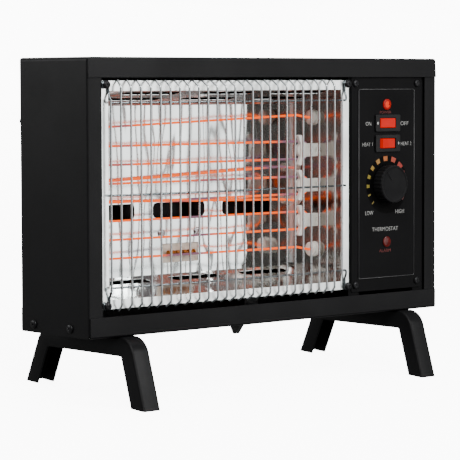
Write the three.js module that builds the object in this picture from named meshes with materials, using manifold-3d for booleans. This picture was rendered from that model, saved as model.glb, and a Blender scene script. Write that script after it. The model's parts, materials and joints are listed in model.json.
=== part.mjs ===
// Portable radiant space heater: a folded steel cabinet on two channel feet, a polished
// reflector chamber with strung heating wire behind a bowed wire guard, and a control column.
// Millimetres, Z up. The cabinet is drawn upright in its own frame (X to the right seen from
// the front, Y to the back, Z up, origin at the middle of the front bottom edge) and is then
// leaned back onto its feet, which is how the heater stands.

import * as THREE from 'three';
import { mergeVertices } from 'three/addons/utils/BufferGeometryUtils.js';
import Module from 'manifold-3d';

const wasm = await Module();
wasm.setup();

const degrees = THREE.MathUtils.degToRad;

// Fits shared by all pieces
const SEAT = 0.3;
const OVERRUN = 3;

// Cabinet
const CABINET_WIDTH = 457;
const CABINET_HEIGHT = 260;
const CABINET_DEPTH = 106;
const CASE_SHEET = 1;
const CASE_TOP_RADIUS = 4;
const CASE_EDGE_RADIUS = 2;
const STILE_WIDTH = 16.8;
const REAR_FLANGE = 9;
const HOOD_DROP = 19;
const HOOD_FLARE = 1.3;
const HOOD_ROOT = 3;
const HOOD_INSET = 1;
const HALF_WIDTH = CABINET_WIDTH / 2;
const STILE_EDGE = HALF_WIDTH - STILE_WIDTH;

// Base pan
const PAN_SHEET = 1;
const PAN_FRONT_LIP = 19.5;
const PAN_REAR_LIP = 22;
const PAN_BEND_RADIUS = 2;
const PAN_SIDE_FLANGE = 17;
const PAN_FLANGE_INSET = 3;

// Lean and feet
const LEAN = degrees(3.75);
const STAND_HEIGHT = 64.4;
const FOOT_WIDTH = 20.5;
const FOOT_FLANGE = 18;
const FOOT_SHEET = 1.6;
const FOOT_INSET = 35.9;
const FOOT_OUTSET = HALF_WIDTH - FOOT_INSET;
const FOOT_FRONT_REACH = 14.9;
const FOOT_REAR_REACH = 18.7;
const FOOT_FRONT_KNEE = -FOOT_FRONT_REACH;
const FOOT_REAR_KNEE = CABINET_DEPTH + FOOT_REAR_REACH;
const FOOT_SLANT = degrees(21);
const FOOT_BEND_RADIUS = 20;
const FOOT_SCREW_MARGIN = 22;
const FOOT_SCREW_Y = [FOOT_SCREW_MARGIN, CABINET_DEPTH - FOOT_SCREW_MARGIN];

// Reflector chamber, set in from the stiles, the roof and the back of the cabinet
const CHAMBER_INSET = 8.7;
const CONTROL_COLUMN = 118.7;
const CHAMBER_LEFT = CHAMBER_INSET - STILE_EDGE;
const CHAMBER_RIGHT = STILE_EDGE - CONTROL_COLUMN;
const CHAMBER_SHEET = 0.8;
const CHAMBER_BACK_GAP = 31;
const CHAMBER_DEPTH = CABINET_DEPTH - CHAMBER_BACK_GAP;
const CHAMBER_FLOOR_FRONT = 35;
const CHAMBER_FLOOR_BACK = 47.5;
const CHAMBER_ROOF_GAP = 31.7;
const CHAMBER_ROOF_FRONT = CABINET_HEIGHT - CHAMBER_ROOF_GAP;
const CHAMBER_ROOF_FALL = 14.3;
const CHAMBER_ROOF_BACK = CHAMBER_ROOF_FRONT - CHAMBER_ROOF_FALL;
const CHAMBER_FLANGE_GAP = 13;
const CHAMBER_FLANGE_TOP = CABINET_HEIGHT - CHAMBER_FLANGE_GAP;
const CHAMBER_FLANGE_BOTTOM = 21;
const CHAMBER_END_LAP = 3;
const CHAMBER_END_DEPTH = CHAMBER_DEPTH + CHAMBER_END_LAP;
const CHAMBER_LEFT_FLANGE = 14;
const CHAMBER_RIGHT_FLANGE = 10.8;

// Slots in the reflector: each row has its margins, its gaps and its count, and fills the rest
const WALL_SLOT = { start: 22.4, end: 29, gap: 23.3, width: 14.9, count: 3 };
const FLOOR_SLOT = { start: 29, end: 23, gap: 29, width: 15, count: 3 };
const ROOF_SLOT = { start: 26.5, end: 11.5, gap: 27, width: 15, count: 3 };
const WALL_SLOT_RISE = 63.2;
const FLOOR_SLOT_BACK_GAP = 17;
const ROOF_SLOT_FRONT_GAP = 14.5;
const ROOF_SLOT_ROW_PITCH = 29;
const ROOF_SLOT_ROWS = 2;
const SLOT_CORNER = 4;

// Thermal cut-out behind its window
const WINDOW_WIDTH = 48;
const WINDOW_HEIGHT = 18.5;
const WINDOW_SHIFT = 3;
const WINDOW_X = (CHAMBER_LEFT + CHAMBER_RIGHT) / 2 - WINDOW_SHIFT;
const WINDOW_RISE = 20.5;
const WINDOW_Z = CHAMBER_FLOOR_BACK + WINDOW_RISE;
const MICA_SHEET = 1;
const MICA_MARGIN = 6;
const MICA_RISE = 26;
const MICA_TOP = WINDOW_Z + MICA_RISE;
const CUTOUT_RADIUS = 2.6;
const CUTOUT_LENGTH = 34;
const CUTOUT_COLLAR_RADIUS = 3.5;
const CUTOUT_COLLAR_LENGTH = 3;
const CUTOUT_SCREW_SPACING = 46;
const CUTOUT_SCREW_RISE = 20;
const CUTOUT_SCREW_Z = WINDOW_Z + CUTOUT_SCREW_RISE;

// Heating wires
const ELEMENT_PLANE = 40;
const BOOSTER_BACK_GAP = 10;
const BOOSTER_PLANE = CHAMBER_DEPTH - BOOSTER_BACK_GAP;
const ELEMENT_RADIUS = 0.65;
const STRAND_TURNS = 4;
const STRAND_ROOF_GAP = 20;
const STRAND_FLOOR_GAP = 21.9;
const STRAND_TOP = CHAMBER_ROOF_BACK - STRAND_ROOF_GAP;
const STRAND_BOTTOM = CHAMBER_FLOOR_BACK + STRAND_FLOOR_GAP;
const STRAND_PITCH = (STRAND_TOP - STRAND_BOTTOM) / (2 * STRAND_TURNS - 1);
const LEAD_REACH = 24.8;
const LEAD_X = CHAMBER_RIGHT - LEAD_REACH;
const LEAD_RISE = 8.8;
const LEAD_FALL = 0.5;
const LEAD_TOP_Z = STRAND_TOP + LEAD_RISE;
const LEAD_BOTTOM_Z = STRAND_BOTTOM - LEAD_FALL;
const LEAD_STUB = 2;
const BOOSTER_CENTRE_Z = (STRAND_TOP + STRAND_BOTTOM) / 2;
const BOOSTER_RISE = 18.3;
const BOOSTER_FALL = 15.2;
const BOOSTER_TOP_Z = BOOSTER_CENTRE_Z + BOOSTER_RISE;
const BOOSTER_BOTTOM_Z = BOOSTER_CENTRE_Z - BOOSTER_FALL;

// Ceramics
const BUSHING_RISE = 6.3;
const BUSHING_FALL = 3.5;
const BUSHING_TOP_Z = STRAND_TOP + BUSHING_RISE;
const BUSHING_BOTTOM_Z = STRAND_BOTTOM - BUSHING_FALL;
const BUSHING = { radius: 7.8, length: 7.5, crown: 1.6, neck: 3.6, reach: 2.7 };
const BOOSTER_BUSHING_DROP = 1.6;
const BOOSTER_BUSHING_TOP_Z = BOOSTER_TOP_Z - BOOSTER_BUSHING_DROP;
const BOOSTER_BUSHING_BOTTOM_Z = BOOSTER_BOTTOM_Z - BOOSTER_BUSHING_DROP;
const BOOSTER_BUSHING = { radius: 4.6, length: 5, crown: 0.8, neck: 2.6, reach: 2.7 };
const CERAMIC_THICKNESS = 4.5;
const CERAMIC_BODY_HALF = 6.7;
const CERAMIC_REACH = 28;
const CERAMIC_HORN_GAP = 2.3;
const CERAMIC_HORN_HALF = STRAND_PITCH - CERAMIC_HORN_GAP;
const CERAMIC_HORN_WIDTH = 6;
const CERAMIC_HOLLOW = 4.2;
const CERAMIC_NECK = 16;
const CERAMIC_ROUNDING = 1;
const CERAMIC_SLOT_WIDTH = 1.6;
const CERAMIC_SLOT_HEIGHT = 5;
const CERAMIC_SLOT_REACH = 2.6;
const SPOOL_REACH = 18;
const SPOOL_PROUD = 1.6;

// Wire guard
const WIRE_RADIUS = 1;
const WIRE_COUNT = 27;
const WIRE_LEFT_OUTSET = 1.3;
const WIRE_RIGHT_INSET = 3.45;
const WIRE_LEFT = CHAMBER_LEFT - WIRE_LEFT_OUTSET;
const WIRE_PITCH = (CHAMBER_RIGHT - WIRE_RIGHT_INSET - WIRE_LEFT) / (WIRE_COUNT - 1);
const WIRE_TOP_GAP = 20;
const WIRE_TOP = CABINET_HEIGHT - WIRE_TOP_GAP;
const WIRE_BOTTOM = 24;
const WIRE_KNEE = 5.5;
const GUARD_STANDOFF = 4;
const GUARD_BOW = 5.6;
const GUARD_WELD = 0.45;
const RAIL_BOTTOM_Z = 46.3;
const RAIL_TOP_GAP = 42.3;
const RAIL_TOP_Z = CABINET_HEIGHT - RAIL_TOP_GAP;
const RAIL_MIDDLE_Z = (RAIL_BOTTOM_Z + RAIL_TOP_Z) / 2;
const RAIL_BEND = 4;
const HOOK_SWEEP = degrees(240);
const GUARD_SCREW_OUTSET = 7;
const GUARD_SCREW_RIGHT = CHAMBER_RIGHT + GUARD_SCREW_OUTSET;
const GUARD_SCREW_TOP_GAP = 25.8;
const GUARD_SCREW_TOP = CABINET_HEIGHT - GUARD_SCREW_TOP_GAP;
const GUARD_SCREW_BOTTOM = 29.6;

// Control column
const BOX_BACK_GAP = 34;
const BOX_DEPTH = CABINET_DEPTH - BOX_BACK_GAP;
const BOX_FLANGE_LEFT = 15;
const BOX_FLANGE_RIGHT = 15;
const BOX_SHEET = 1;
const BOX_LEFT = CHAMBER_RIGHT + CHAMBER_RIGHT_FLANGE + SEAT;
const BOX_RIGHT = STILE_EDGE - SEAT;
const PLATE_INSET = 3.4;
const PLATE_LEFT = BOX_LEFT + PLATE_INSET;
const PLATE_RIGHT = BOX_RIGHT - PLATE_INSET;
const PLATE_BOTTOM = 22.5;
const PLATE_TOP_GAP = 14;
const PLATE_TOP = CABINET_HEIGHT - PLATE_TOP_GAP;
const PLATE_SHEET = 0.8;
const PLATE_CORNER = 1.5;
const PANEL_LEFT_INSET = 10;
const PANEL_RIGHT_INSET = 11.5;
const PANEL_LEFT = PLATE_LEFT + PANEL_LEFT_INSET;
const PANEL_RIGHT = PLATE_RIGHT - PANEL_RIGHT_INSET;
const PANEL_X = (PANEL_LEFT + PANEL_RIGHT) / 2;
const PANEL_BOTTOM = 36;
const PANEL_TOP = CHAMBER_ROOF_FRONT;
const PANEL_RISE = 1;
const PANEL_CORNER = 2;
const CONTROL_SCREW_LEFT_INSET = 5.5;
const CONTROL_SCREW_RIGHT_INSET = 7;
const CONTROL_SCREW_BOTTOM = 29.6;
const CONTROL_SCREW_TOP_GAP = 25.5;
const CONTROL_SCREW_TOP = CABINET_HEIGHT - CONTROL_SCREW_TOP_GAP;

// Rocker switches
const BEZEL_WIDTH = 35;
const BEZEL_HEIGHT = 17.4;
const BEZEL_GAP = 3.4;
const SWITCH_TOP_GAP = 34.3;
const SWITCH_POWER_Z = PANEL_TOP - SWITCH_TOP_GAP;
const SWITCH_HEAT_Z = SWITCH_POWER_Z - BEZEL_HEIGHT - BEZEL_GAP;
const BEZEL_RISE = 1.6;
const BEZEL_CORNER = 1.6;
const SWITCH_WIDTH = 31;
const SWITCH_HEIGHT = 15;
const SWITCH_DEPTH = 19;
const POCKET_DEPTH = 9.5;
const POCKET_MARGIN = 0.8;
const TERMINAL_WIDTH = 4.8;
const TERMINAL_SHEET = 0.8;
const TERMINAL_LENGTH = 7;
const TERMINAL_PITCH = 9;
const ROCKER_WIDTH = 20.4;
const ROCKER_HEIGHT = 10;
const ROCKER_ANGLE = degrees(6);
const ROCKER_PIVOT = 3.2;
const ROCKER_SIDE = 1.5;
const ROCKER_HEEL = 3.5;
const ROCKER_HEEL_WIDTH = 8;
const ROCKER_PIN_RADIUS = 1.2;
const ROCKER_PIN_REACH = 1.2;

// Thermostat
const DIAL_SHIFT = 0.5;
const DIAL_SHARE = 0.6968;
const DIAL_X = PANEL_X - DIAL_SHIFT;
const DIAL_Z = PANEL_BOTTOM + (SWITCH_HEAT_Z - PANEL_BOTTOM) * DIAL_SHARE;
const KNOB_RADIUS = 19;
const KNOB_HEIGHT = 13.5;
const KNOB_GAP = 0.6;
const KNOB_BEVEL = 0.9;
const KNOB_RIBS = 30;
const KNOB_RIB_DEPTH = 0.6;
const KNOB_DISH_RADIUS = 15;
const KNOB_DISH_DEPTH = 0.9;
const KNOB_POCKET_RADIUS = 6.5;
const KNOB_POCKET_DEPTH = 4;
const POINTER_WIDTH = 1.8;
const POINTER_START = 3;
const POINTER_END = 14.2;
const POINTER_RISE = 0.5;
const POINTER_ANGLE = degrees(135);
const SHAFT_RADIUS = 3;
const SHAFT_FLAT = 2.2;
const SHAFT_FRONT = -9.5;
const THERMOSTAT_WIDTH = 34;
const THERMOSTAT_HEIGHT = 28;
const THERMOSTAT_DEPTH = 22;
const THERMOSTAT_CORNER = 2;
const THERMOSTAT_NECK = 5;
const THERMOSTAT_NECK_FRONT = -3.2;
const THERMOSTAT_BORE = 12;

// Indicator lamps
const LAMP_TOP_GAP = 15.3;
const LAMP_SHARE = 0.263;
const LAMP_X = DIAL_X;
const LAMP_POWER_Z = PANEL_TOP - LAMP_TOP_GAP;
const LAMP_ALARM_Z = PANEL_BOTTOM + (SWITCH_HEAT_Z - PANEL_BOTTOM) * LAMP_SHARE;
const LAMP_RADIUS = 5.5;
const LAMP_RISE = 2.6;
const LAMP_RIM = 0.8;
const LAMP_STEM_RADIUS = 4;
const LAMP_STEM_LENGTH = 18;

// Tip-over switch
const TIP_BACK_GAP = 51;
const TIP_Y = CABINET_DEPTH - TIP_BACK_GAP;
const TIP_PIVOT_Z = 8;
const TIP_PLATE = 6;
const TIP_HALF = 14;
const TIP_TOP = 6;
const TIP_SHOULDER = 6;
const TIP_DROP = 24;
const TIP_NOSE = 3;
const TIP_NOSE_START = degrees(210);
const TIP_NOSE_SWEEP = degrees(120);
const TIP_PIN_RADIUS = 1.5;
const TIP_PIN_HALF = 8;
const TIP_HOUSING_LENGTH = 44;
const TIP_HOUSING_WIDTH = 18;
const TIP_HOUSING_HEIGHT = 21;
const TIP_HOUSING_WALL = 2;
const TIP_SLOT_LENGTH = 37;
const TIP_SLOT_WIDTH = 9;

// Rear of the cabinet
const BACK_SHEET = 0.8;
const VENT = { start: 14, end: 20, gap: 20, width: 4.4, count: 3 };
const CONTROL_VENT = { start: 34, end: 24.7, gap: 20, width: 4.4, count: 1 };
const VENT_ROWS = 8;
const CONTROL_VENT_ROWS = 5;
const VENT_MARGIN = 60;
const VENT_ROW_PITCH = (CABINET_HEIGHT - 2 * VENT_MARGIN) / (VENT_ROWS - 1);
const VENT_CORNER = 1.5;
const BACK_SCREW_Z = CABINET_HEIGHT - VENT_MARGIN;
const INLET_INSET = 38.5;
const INLET_X = HALF_WIDTH - INLET_INSET;
const INLET_Z = 40;
const INLET_RADIUS = 7;
const INLET_FLANGE_RADIUS = 9.5;
const INLET_FLANGE = 2;
const INLET_NOSE = 7;
const INLET_NOSE_RADIUS = 6;
const INLET_INNER = 5;
const INLET_BORE = 3.6;

// Screws: shank radius, reach behind the head, head radius and head height
const SIDE_SCREW = { radius: 1.9, reach: 5, head: 4.2, height: 2 };
const SIDE_SCREW_FRONT_GAP = 28;
const SIDE_SCREW_BACK_GAP = 21;
const SIDE_SCREW_Y = [SIDE_SCREW_FRONT_GAP, CABINET_DEPTH - SIDE_SCREW_BACK_GAP];
const SIDE_SCREW_Z = 8;
const GUARD_SCREW = { radius: 2, reach: 8, head: 4, height: 2.5 };
const CONTROL_SCREW = { radius: 1.7, reach: 6, head: 3.7, height: 1.8 };
const CUTOUT_SCREW = { radius: 1.6, reach: 5, head: 4, height: 1.8 };
const BACK_SCREW = { radius: 1.7, reach: 5, head: 3.7, height: 1.8 };
const FOOT_SCREW = { radius: 2.4, reach: 6, head: 4.4, height: 2.6 };
const RECESS_LENGTH = 4;
const RECESS_WIDTH = 0.9;
const RECESS_DEPTH = 1;
const HEAD_RIM = 0.7;

// Facets
const ROUND = 14;
const SMALL_ROUND = 8;
const WIRE_SIDES = 6;
const BEND_STEPS = 6;
const CORNER_STEPS = 3;
const RAIL_STEPS = 6;

// Planes that several pieces share
const CHAMBER_FACE = CASE_SHEET + SEAT;
const PLATE_FACE = CASE_SHEET + SEAT;
const PANEL_FACE = PLATE_FACE - PANEL_RISE;
const BOX_FACE = PLATE_FACE + PLATE_SHEET + SEAT;
const BACK_FACE = CABINET_DEPTH - CASE_SHEET - SEAT;
const PAN_HALF = HALF_WIDTH - CASE_SHEET - SEAT;
const PAN_FLOOR = PAN_SHEET + SEAT;
const FOOT_CENTRE = FOOT_OUTSET - FOOT_WIDTH / 2;
const SPOOL_RADIUS = STRAND_PITCH / 2 - ELEMENT_RADIUS - SEAT;
const LEFT_SPOOL_X = CHAMBER_LEFT + SEAT + SPOOL_REACH;
const RIGHT_SPOOL_X = CHAMBER_RIGHT - SEAT - SPOOL_REACH;
const WIRE_SPAN = WIRE_PITCH * (WIRE_COUNT - 1);
const WIRE_LIE = CHAMBER_FACE - SEAT - WIRE_RADIUS;
const HOOK_RADIUS = GUARD_SCREW.radius + SEAT + WIRE_RADIUS;
const GUARD_SCREW_LEFT = SEAT - STILE_EDGE + HOOK_RADIUS + WIRE_RADIUS;
const RAIL_LEFT = GUARD_SCREW_LEFT + HOOK_RADIUS;
const RAIL_RIGHT = GUARD_SCREW_RIGHT - HOOK_RADIUS;

const FINISHES = {
  caseBlack: { color: 0x1d1d1e, roughness: 0.55, metalness: 0.1 },
  plateBlack: { color: 0x131314, roughness: 0.6, metalness: 0.1 },
  mirror: { color: 0xe6e7e8, roughness: 0.12, metalness: 1 },
  chrome: { color: 0xd5d8da, roughness: 0.15, metalness: 1 },
  ceramic: { color: 0xe9e6df, roughness: 0.45, metalness: 0 },
  element: { color: 0xff5a1e, roughness: 0.6, metalness: 0.2 },
  rockerRed: { color: 0xd0201a, roughness: 0.25, metalness: 0 },
  switchBlack: { color: 0x0e0e0f, roughness: 0.35, metalness: 0 },
  knobBlack: { color: 0x0c0c0d, roughness: 0.4, metalness: 0 },
  screwBlack: { color: 0x151516, roughness: 0.35, metalness: 0.6 },
  steel: { color: 0xb9bcbf, roughness: 0.3, metalness: 1 },
  mica: { color: 0xb9a68c, roughness: 0.6, metalness: 0 },
  copper: { color: 0xa9622f, roughness: 0.35, metalness: 0.9 },
  lampLit: { color: 0xff4a1c, roughness: 0.2, metalness: 0 },
  lampDark: { color: 0x7d1712, roughness: 0.2, metalness: 0 },
  plastic: { color: 0x161617, roughness: 0.6, metalness: 0 },
};

// Between three.js geometry and solids

function welded(geometry) {
  const bare = geometry.clone();
  for (const name of Object.keys(bare.attributes)) {
    if (name !== 'position') bare.deleteAttribute(name);
  }
  const merged = mergeVertices(bare);
  const index = merged.index.array;
  const kept = [];
  for (let i = 0; i < index.length; i += 3) {
    const [a, b, c] = [index[i], index[i + 1], index[i + 2]];
    if (a !== b && b !== c && c !== a) kept.push(a, b, c);
  }
  merged.setIndex(kept);
  return merged;
}

function solidOf(geometry) {
  return new wasm.Manifold(new wasm.Mesh({
    numProp: 3,
    vertProperties: new Float32Array(geometry.attributes.position.array),
    triVerts: new Uint32Array(geometry.index.array),
  }));
}

function geometryOf(solid) {
  const data = solid.getMesh();
  const geometry = new THREE.BufferGeometry();
  const places = new Float32Array(data.vertProperties);
  geometry.setAttribute('position', new THREE.BufferAttribute(places, 3));
  geometry.setIndex(new THREE.BufferAttribute(new Uint32Array(data.triVerts), 1));
  geometry.computeVertexNormals();
  return geometry;
}

function join(solids) {
  return solids.reduce((whole, solid) => whole.add(solid));
}

function cut(solid, cutters) {
  return cutters.reduce((rest, cutter) => rest.subtract(cutter), solid);
}

function part(name, solid, finish) {
  const mesh = new THREE.Mesh(geometryOf(solid), new THREE.MeshStandardMaterial(FINISHES[finish]));
  mesh.name = name;
  return mesh;
}

// Plain shapes

function block(x0, x1, y0, y1, z0, z1) {
  const geometry = welded(new THREE.BoxGeometry(x1 - x0, y1 - y0, z1 - z0));
  geometry.translate((x0 + x1) / 2, (y0 + y1) / 2, (z0 + z1) / 2);
  return solidOf(geometry);
}

function prism(points, depth) {
  const shape = new THREE.Shape(points.map(([a, b]) => new THREE.Vector2(a, b)));
  return welded(new THREE.ExtrudeGeometry(shape, { depth, bevelEnabled: false }));
}

function alongZ(points, z0, z1) {
  const geometry = prism(points, z1 - z0);
  geometry.translate(0, 0, z0);
  return solidOf(geometry);
}

function alongY(points, y0, y1) {
  const geometry = prism(points, y1 - y0);
  geometry.rotateX(Math.PI / 2);
  geometry.translate(0, y1, 0);
  return solidOf(geometry);
}

function alongX(points, x0, x1) {
  const geometry = prism(points, x1 - x0);
  geometry.rotateX(Math.PI / 2);
  geometry.rotateZ(Math.PI / 2);
  geometry.translate(x0, 0, 0);
  return solidOf(geometry);
}

function rodX(radius, x0, x1, y, z, sides = SMALL_ROUND) {
  const geometry = welded(new THREE.CylinderGeometry(radius, radius, x1 - x0, sides));
  geometry.rotateZ(Math.PI / 2);
  geometry.translate((x0 + x1) / 2, y, z);
  return solidOf(geometry);
}

function rodY(radius, x, y0, y1, z, sides = SMALL_ROUND) {
  const geometry = welded(new THREE.CylinderGeometry(radius, radius, y1 - y0, sides));
  geometry.translate(x, (y0 + y1) / 2, z);
  return solidOf(geometry);
}

function rodZ(radius, x, y, z0, z1, sides = SMALL_ROUND) {
  const geometry = welded(new THREE.CylinderGeometry(radius, radius, z1 - z0, sides));
  geometry.rotateX(Math.PI / 2);
  geometry.translate(x, y, (z0 + z1) / 2);
  return solidOf(geometry);
}

// A turned solid from [radius, height] pairs, with its heights along +Y
function lathe(profile, sides) {
  const points = profile.map(([radius, height]) => new THREE.Vector2(radius, height));
  return welded(new THREE.LatheGeometry(points, sides));
}

// The same, with its heights running to the front from y
function latheToFront(profile, x, y, z, sides = ROUND) {
  const geometry = lathe(profile, sides);
  geometry.rotateX(Math.PI);
  geometry.translate(x, y, z);
  return solidOf(geometry);
}

// Rounds the corners of an open line of [a, b] points, one radius for each inner corner
function bent(points, radius, steps = CORNER_STEPS) {
  const line = points.map(([a, b]) => new THREE.Vector2(a, b));
  const result = [line[0]];
  for (let i = 1; i < line.length - 1; i += 1) {
    const back = line[i - 1].clone().sub(line[i]).normalize();
    const ahead = line[i + 1].clone().sub(line[i]).normalize();
    const half = Math.acos(THREE.MathUtils.clamp(back.dot(ahead), -1, 1)) / 2;
    const centre = back.clone().add(ahead).normalize().multiplyScalar(radius / Math.sin(half)).add(line[i]);
    const start = line[i].clone().addScaledVector(back, radius / Math.tan(half)).sub(centre);
    const turn = (Math.PI - 2 * half) * Math.sign(ahead.cross(back));
    for (let k = 0; k <= steps; k += 1) {
      result.push(start.clone().rotateAround(new THREE.Vector2(), turn * k / steps).add(centre));
    }
  }
  result.push(line[line.length - 1]);
  return result.map((point) => [point.x, point.y]);
}

// Moves a line sideways, to the left of the way it runs
function offset(points, distance) {
  return points.map((point, i) => {
    const here = new THREE.Vector2(...point);
    const before = new THREE.Vector2(...points[Math.max(i - 1, 0)]);
    const after = new THREE.Vector2(...points[Math.min(i + 1, points.length - 1)]);
    const into = (i === 0 ? after.clone().sub(here) : here.clone().sub(before)).normalize();
    const away = (i === points.length - 1 ? into : after.clone().sub(here)).clone().normalize();
    const side = new THREE.Vector2(-into.y - away.y, into.x + away.x).normalize();
    const reach = distance / side.dot(new THREE.Vector2(-into.y, into.x));
    return [here.x + side.x * reach, here.y + side.y * reach];
  });
}

// The outline of folded sheet: one face as a line, the other to its left
function folded(face, sheet) {
  return [...face, ...offset(face, sheet).reverse()];
}

function roundedBox(a0, a1, b0, b1, radius, steps = CORNER_STEPS) {
  const middle = (a0 + a1) / 2;
  return bent([[middle, b0], [a1, b0], [a1, b1], [a0, b1], [a0, b0], [middle, b0]], radius, steps).slice(1);
}

// Outlines of a row of slots, longest along the first axis, that fill the way from left to right
function slotRow(slot, left, right, along, corner, steps = 2) {
  const open = right - left - slot.start - slot.end - slot.gap * (slot.count - 1);
  const long = open / slot.count;
  const rise = slot.width / 2;
  return Array.from({ length: slot.count }, (_, i) => {
    const from = left + slot.start + (long + slot.gap) * i;
    return roundedBox(from, from + long, along - rise, along + rise, corner, steps);
  });
}

// A path of rings for round wire
class WirePath extends THREE.Curve {
  constructor(points) {
    super();
    this.points = points.map(([x, y, z]) => new THREE.Vector3(x, y, z));
  }

  getPoint(t, target = new THREE.Vector3()) {
    const last = this.points.length - 1;
    const i = Math.min(Math.floor(t * last + 1e-6), last - 1);
    return target.lerpVectors(this.points[i], this.points[i + 1], t * last - i);
  }

  getPointAt(u, target) {
    return this.getPoint(u, target);
  }

  getTangentAt(u, target = new THREE.Vector3()) {
    const last = this.points.length - 1;
    const i = Math.round(u * last);
    const stretch = (k) => this.points[k + 1].clone().sub(this.points[k]).normalize();
    return target.copy(stretch(Math.max(i - 1, 0))).add(stretch(Math.min(i, last - 1))).normalize();
  }
}

function wire(points, radius, sides = WIRE_SIDES) {
  const path = new WirePath(points);
  const round = new THREE.Shape(Array.from({ length: sides }, (_, i) => {
    const angle = 2 * Math.PI * i / sides;
    return new THREE.Vector2(radius * Math.cos(angle), radius * Math.sin(angle));
  }));
  const geometry = new THREE.ExtrudeGeometry(round, { steps: points.length - 1, extrudePath: path });
  return solidOf(welded(geometry));
}

// Screws

const HEAD_TURN = {
  front: [Math.PI, 0, 0],
  back: [0, 0, 0],
  left: [0, 0, Math.PI / 2],
  right: [0, 0, -Math.PI / 2],
  down: [-Math.PI / 2, 0, 0],
};

// A cross-recessed screw; its head stands on the place given and looks the way named
function screw(name, size, place, way, finish = 'screwBlack') {
  const rim = size.height * HEAD_RIM;
  const geometry = lathe([
    [0, -size.reach],
    [size.radius, -size.reach],
    [size.radius, 0],
    [size.head, 0],
    [size.head, size.height - rim],
    [size.head * HEAD_RIM, size.height],
    [0, size.height],
  ], SMALL_ROUND);
  const [long, wide] = [RECESS_LENGTH / 2, RECESS_WIDTH / 2];
  const [low, high] = [size.height - RECESS_DEPTH, size.height + OVERRUN];
  const recess = [block(-long, long, low, high, -wide, wide), block(-wide, wide, low, high, -long, long)];
  const mesh = part(name, cut(solidOf(geometry), recess), finish);
  mesh.position.set(...place);
  mesh.rotation.set(...HEAD_TURN[way]);
  return mesh;
}

function screwHoleY(size, x, z, y0, y1) {
  return rodY(size.radius + SEAT, x, y0 - OVERRUN, y1 + OVERRUN, z);
}

// Cabinet

function archOutline(inset) {
  const half = HALF_WIDTH - inset;
  const top = CABINET_HEIGHT - inset;
  return bent([[-half, 0], [-half, top], [half, top], [half, 0]], CASE_TOP_RADIUS - inset);
}

function caseOuter(inset) {
  const half = HALF_WIDTH - inset;
  const [front, back] = [inset, CABINET_DEPTH - inset];
  const plan = roundedBox(-half, half, front, back, CASE_EDGE_RADIUS - inset, 2);
  return alongY(archOutline(inset), front, back).intersect(alongZ(plan, 0, CABINET_HEIGHT));
}

function hoodLip() {
  const top = CABINET_HEIGHT;
  const face = bent([[HOOD_ROOT, top], [0, top], [-HOOD_FLARE, top - HOOD_DROP]], CASE_EDGE_RADIUS);
  const half = HALF_WIDTH - HOOD_INSET;
  const lip = alongX(folded(face, CASE_SHEET), -half, half);
  return lip.intersect(alongY(archOutline(0), -OVERRUN - HOOD_FLARE, OVERRUN + HOOD_ROOT));
}

function sideScrewHoles() {
  const reach = HALF_WIDTH + OVERRUN;
  return SIDE_SCREW_Y.map((y) => rodX(SIDE_SCREW.radius + SEAT, -reach, reach, y, SIDE_SCREW_Z));
}

function caseWrap() {
  const rear = HALF_WIDTH - REAR_FLANGE;
  const roof = CABINET_HEIGHT - CASE_SHEET;
  const wall = HALF_WIDTH - CASE_SHEET;
  const mouth = block(-wall, wall, -OVERRUN, CABINET_DEPTH + OVERRUN, -OVERRUN, PAN_BEND_RADIUS + SEAT);
  const shell = cut(caseOuter(0), [
    caseOuter(CASE_SHEET),
    mouth,
    block(-STILE_EDGE, STILE_EDGE, -OVERRUN, CHAMBER_FACE, -OVERRUN, roof),
    block(-rear, rear, BACK_FACE, CABINET_DEPTH + OVERRUN, -OVERRUN, CABINET_HEIGHT - REAR_FLANGE),
  ]);
  const backScrews = [-1, 1].map((side) => {
    const x = side * (HALF_WIDTH - REAR_FLANGE / 2);
    return screwHoleY(BACK_SCREW, x, BACK_SCREW_Z, BACK_FACE, CABINET_DEPTH);
  });
  return part('case_wrap', cut(shell.add(hoodLip()), [...sideScrewHoles(), ...backScrews]), 'caseBlack');
}

function basePan() {
  const front = -SEAT - PAN_SHEET;
  const back = CABINET_DEPTH + SEAT + PAN_SHEET;
  const face = bent([[back, PAN_REAR_LIP], [back, 0], [front, 0], [front, PAN_FRONT_LIP]], PAN_BEND_RADIUS);
  const pan = alongX(folded([...face].reverse(), PAN_SHEET), -PAN_HALF, PAN_HALF);
  const flanges = [-1, 1].map((side) => {
    const [near, far] = [PAN_HALF - PAN_SHEET, PAN_HALF].map((x) => x * side).sort((a, b) => a - b);
    return block(near, far, PAN_FLANGE_INSET, CABINET_DEPTH - PAN_FLANGE_INSET, 0, PAN_SIDE_FLANGE);
  });
  const tipSlot = block(-TIP_SLOT_WIDTH / 2, TIP_SLOT_WIDTH / 2, TIP_Y - TIP_SLOT_LENGTH / 2,
    TIP_Y + TIP_SLOT_LENGTH / 2, -OVERRUN, PAN_SHEET + OVERRUN);
  const feet = [-1, 1].flatMap((side) => FOOT_SCREW_Y.map((y) => (
    rodZ(FOOT_SCREW.radius + SEAT, side * FOOT_CENTRE, y, -OVERRUN, PAN_SHEET + OVERRUN))));
  const holes = [tipSlot, ...feet, ...sideScrewHoles()];
  return part('base_pan', cut(join([pan, ...flanges]), holes), 'caseBlack');
}

function sideScrews() {
  return [[-1, 'left'], [1, 'right']].flatMap(([side, way]) => SIDE_SCREW_Y.map((y, i) => (
    screw(`side_screw_${way}_${i + 1}`, SIDE_SCREW, [side * (HALF_WIDTH + SEAT), y, SIDE_SCREW_Z], way))));
}

// Feet: channels with the web outside, cut off level with the floor

function floorBelow(y) {
  return (y * Math.sin(LEAN) - STAND_HEIGHT) / Math.cos(LEAN);
}

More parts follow.
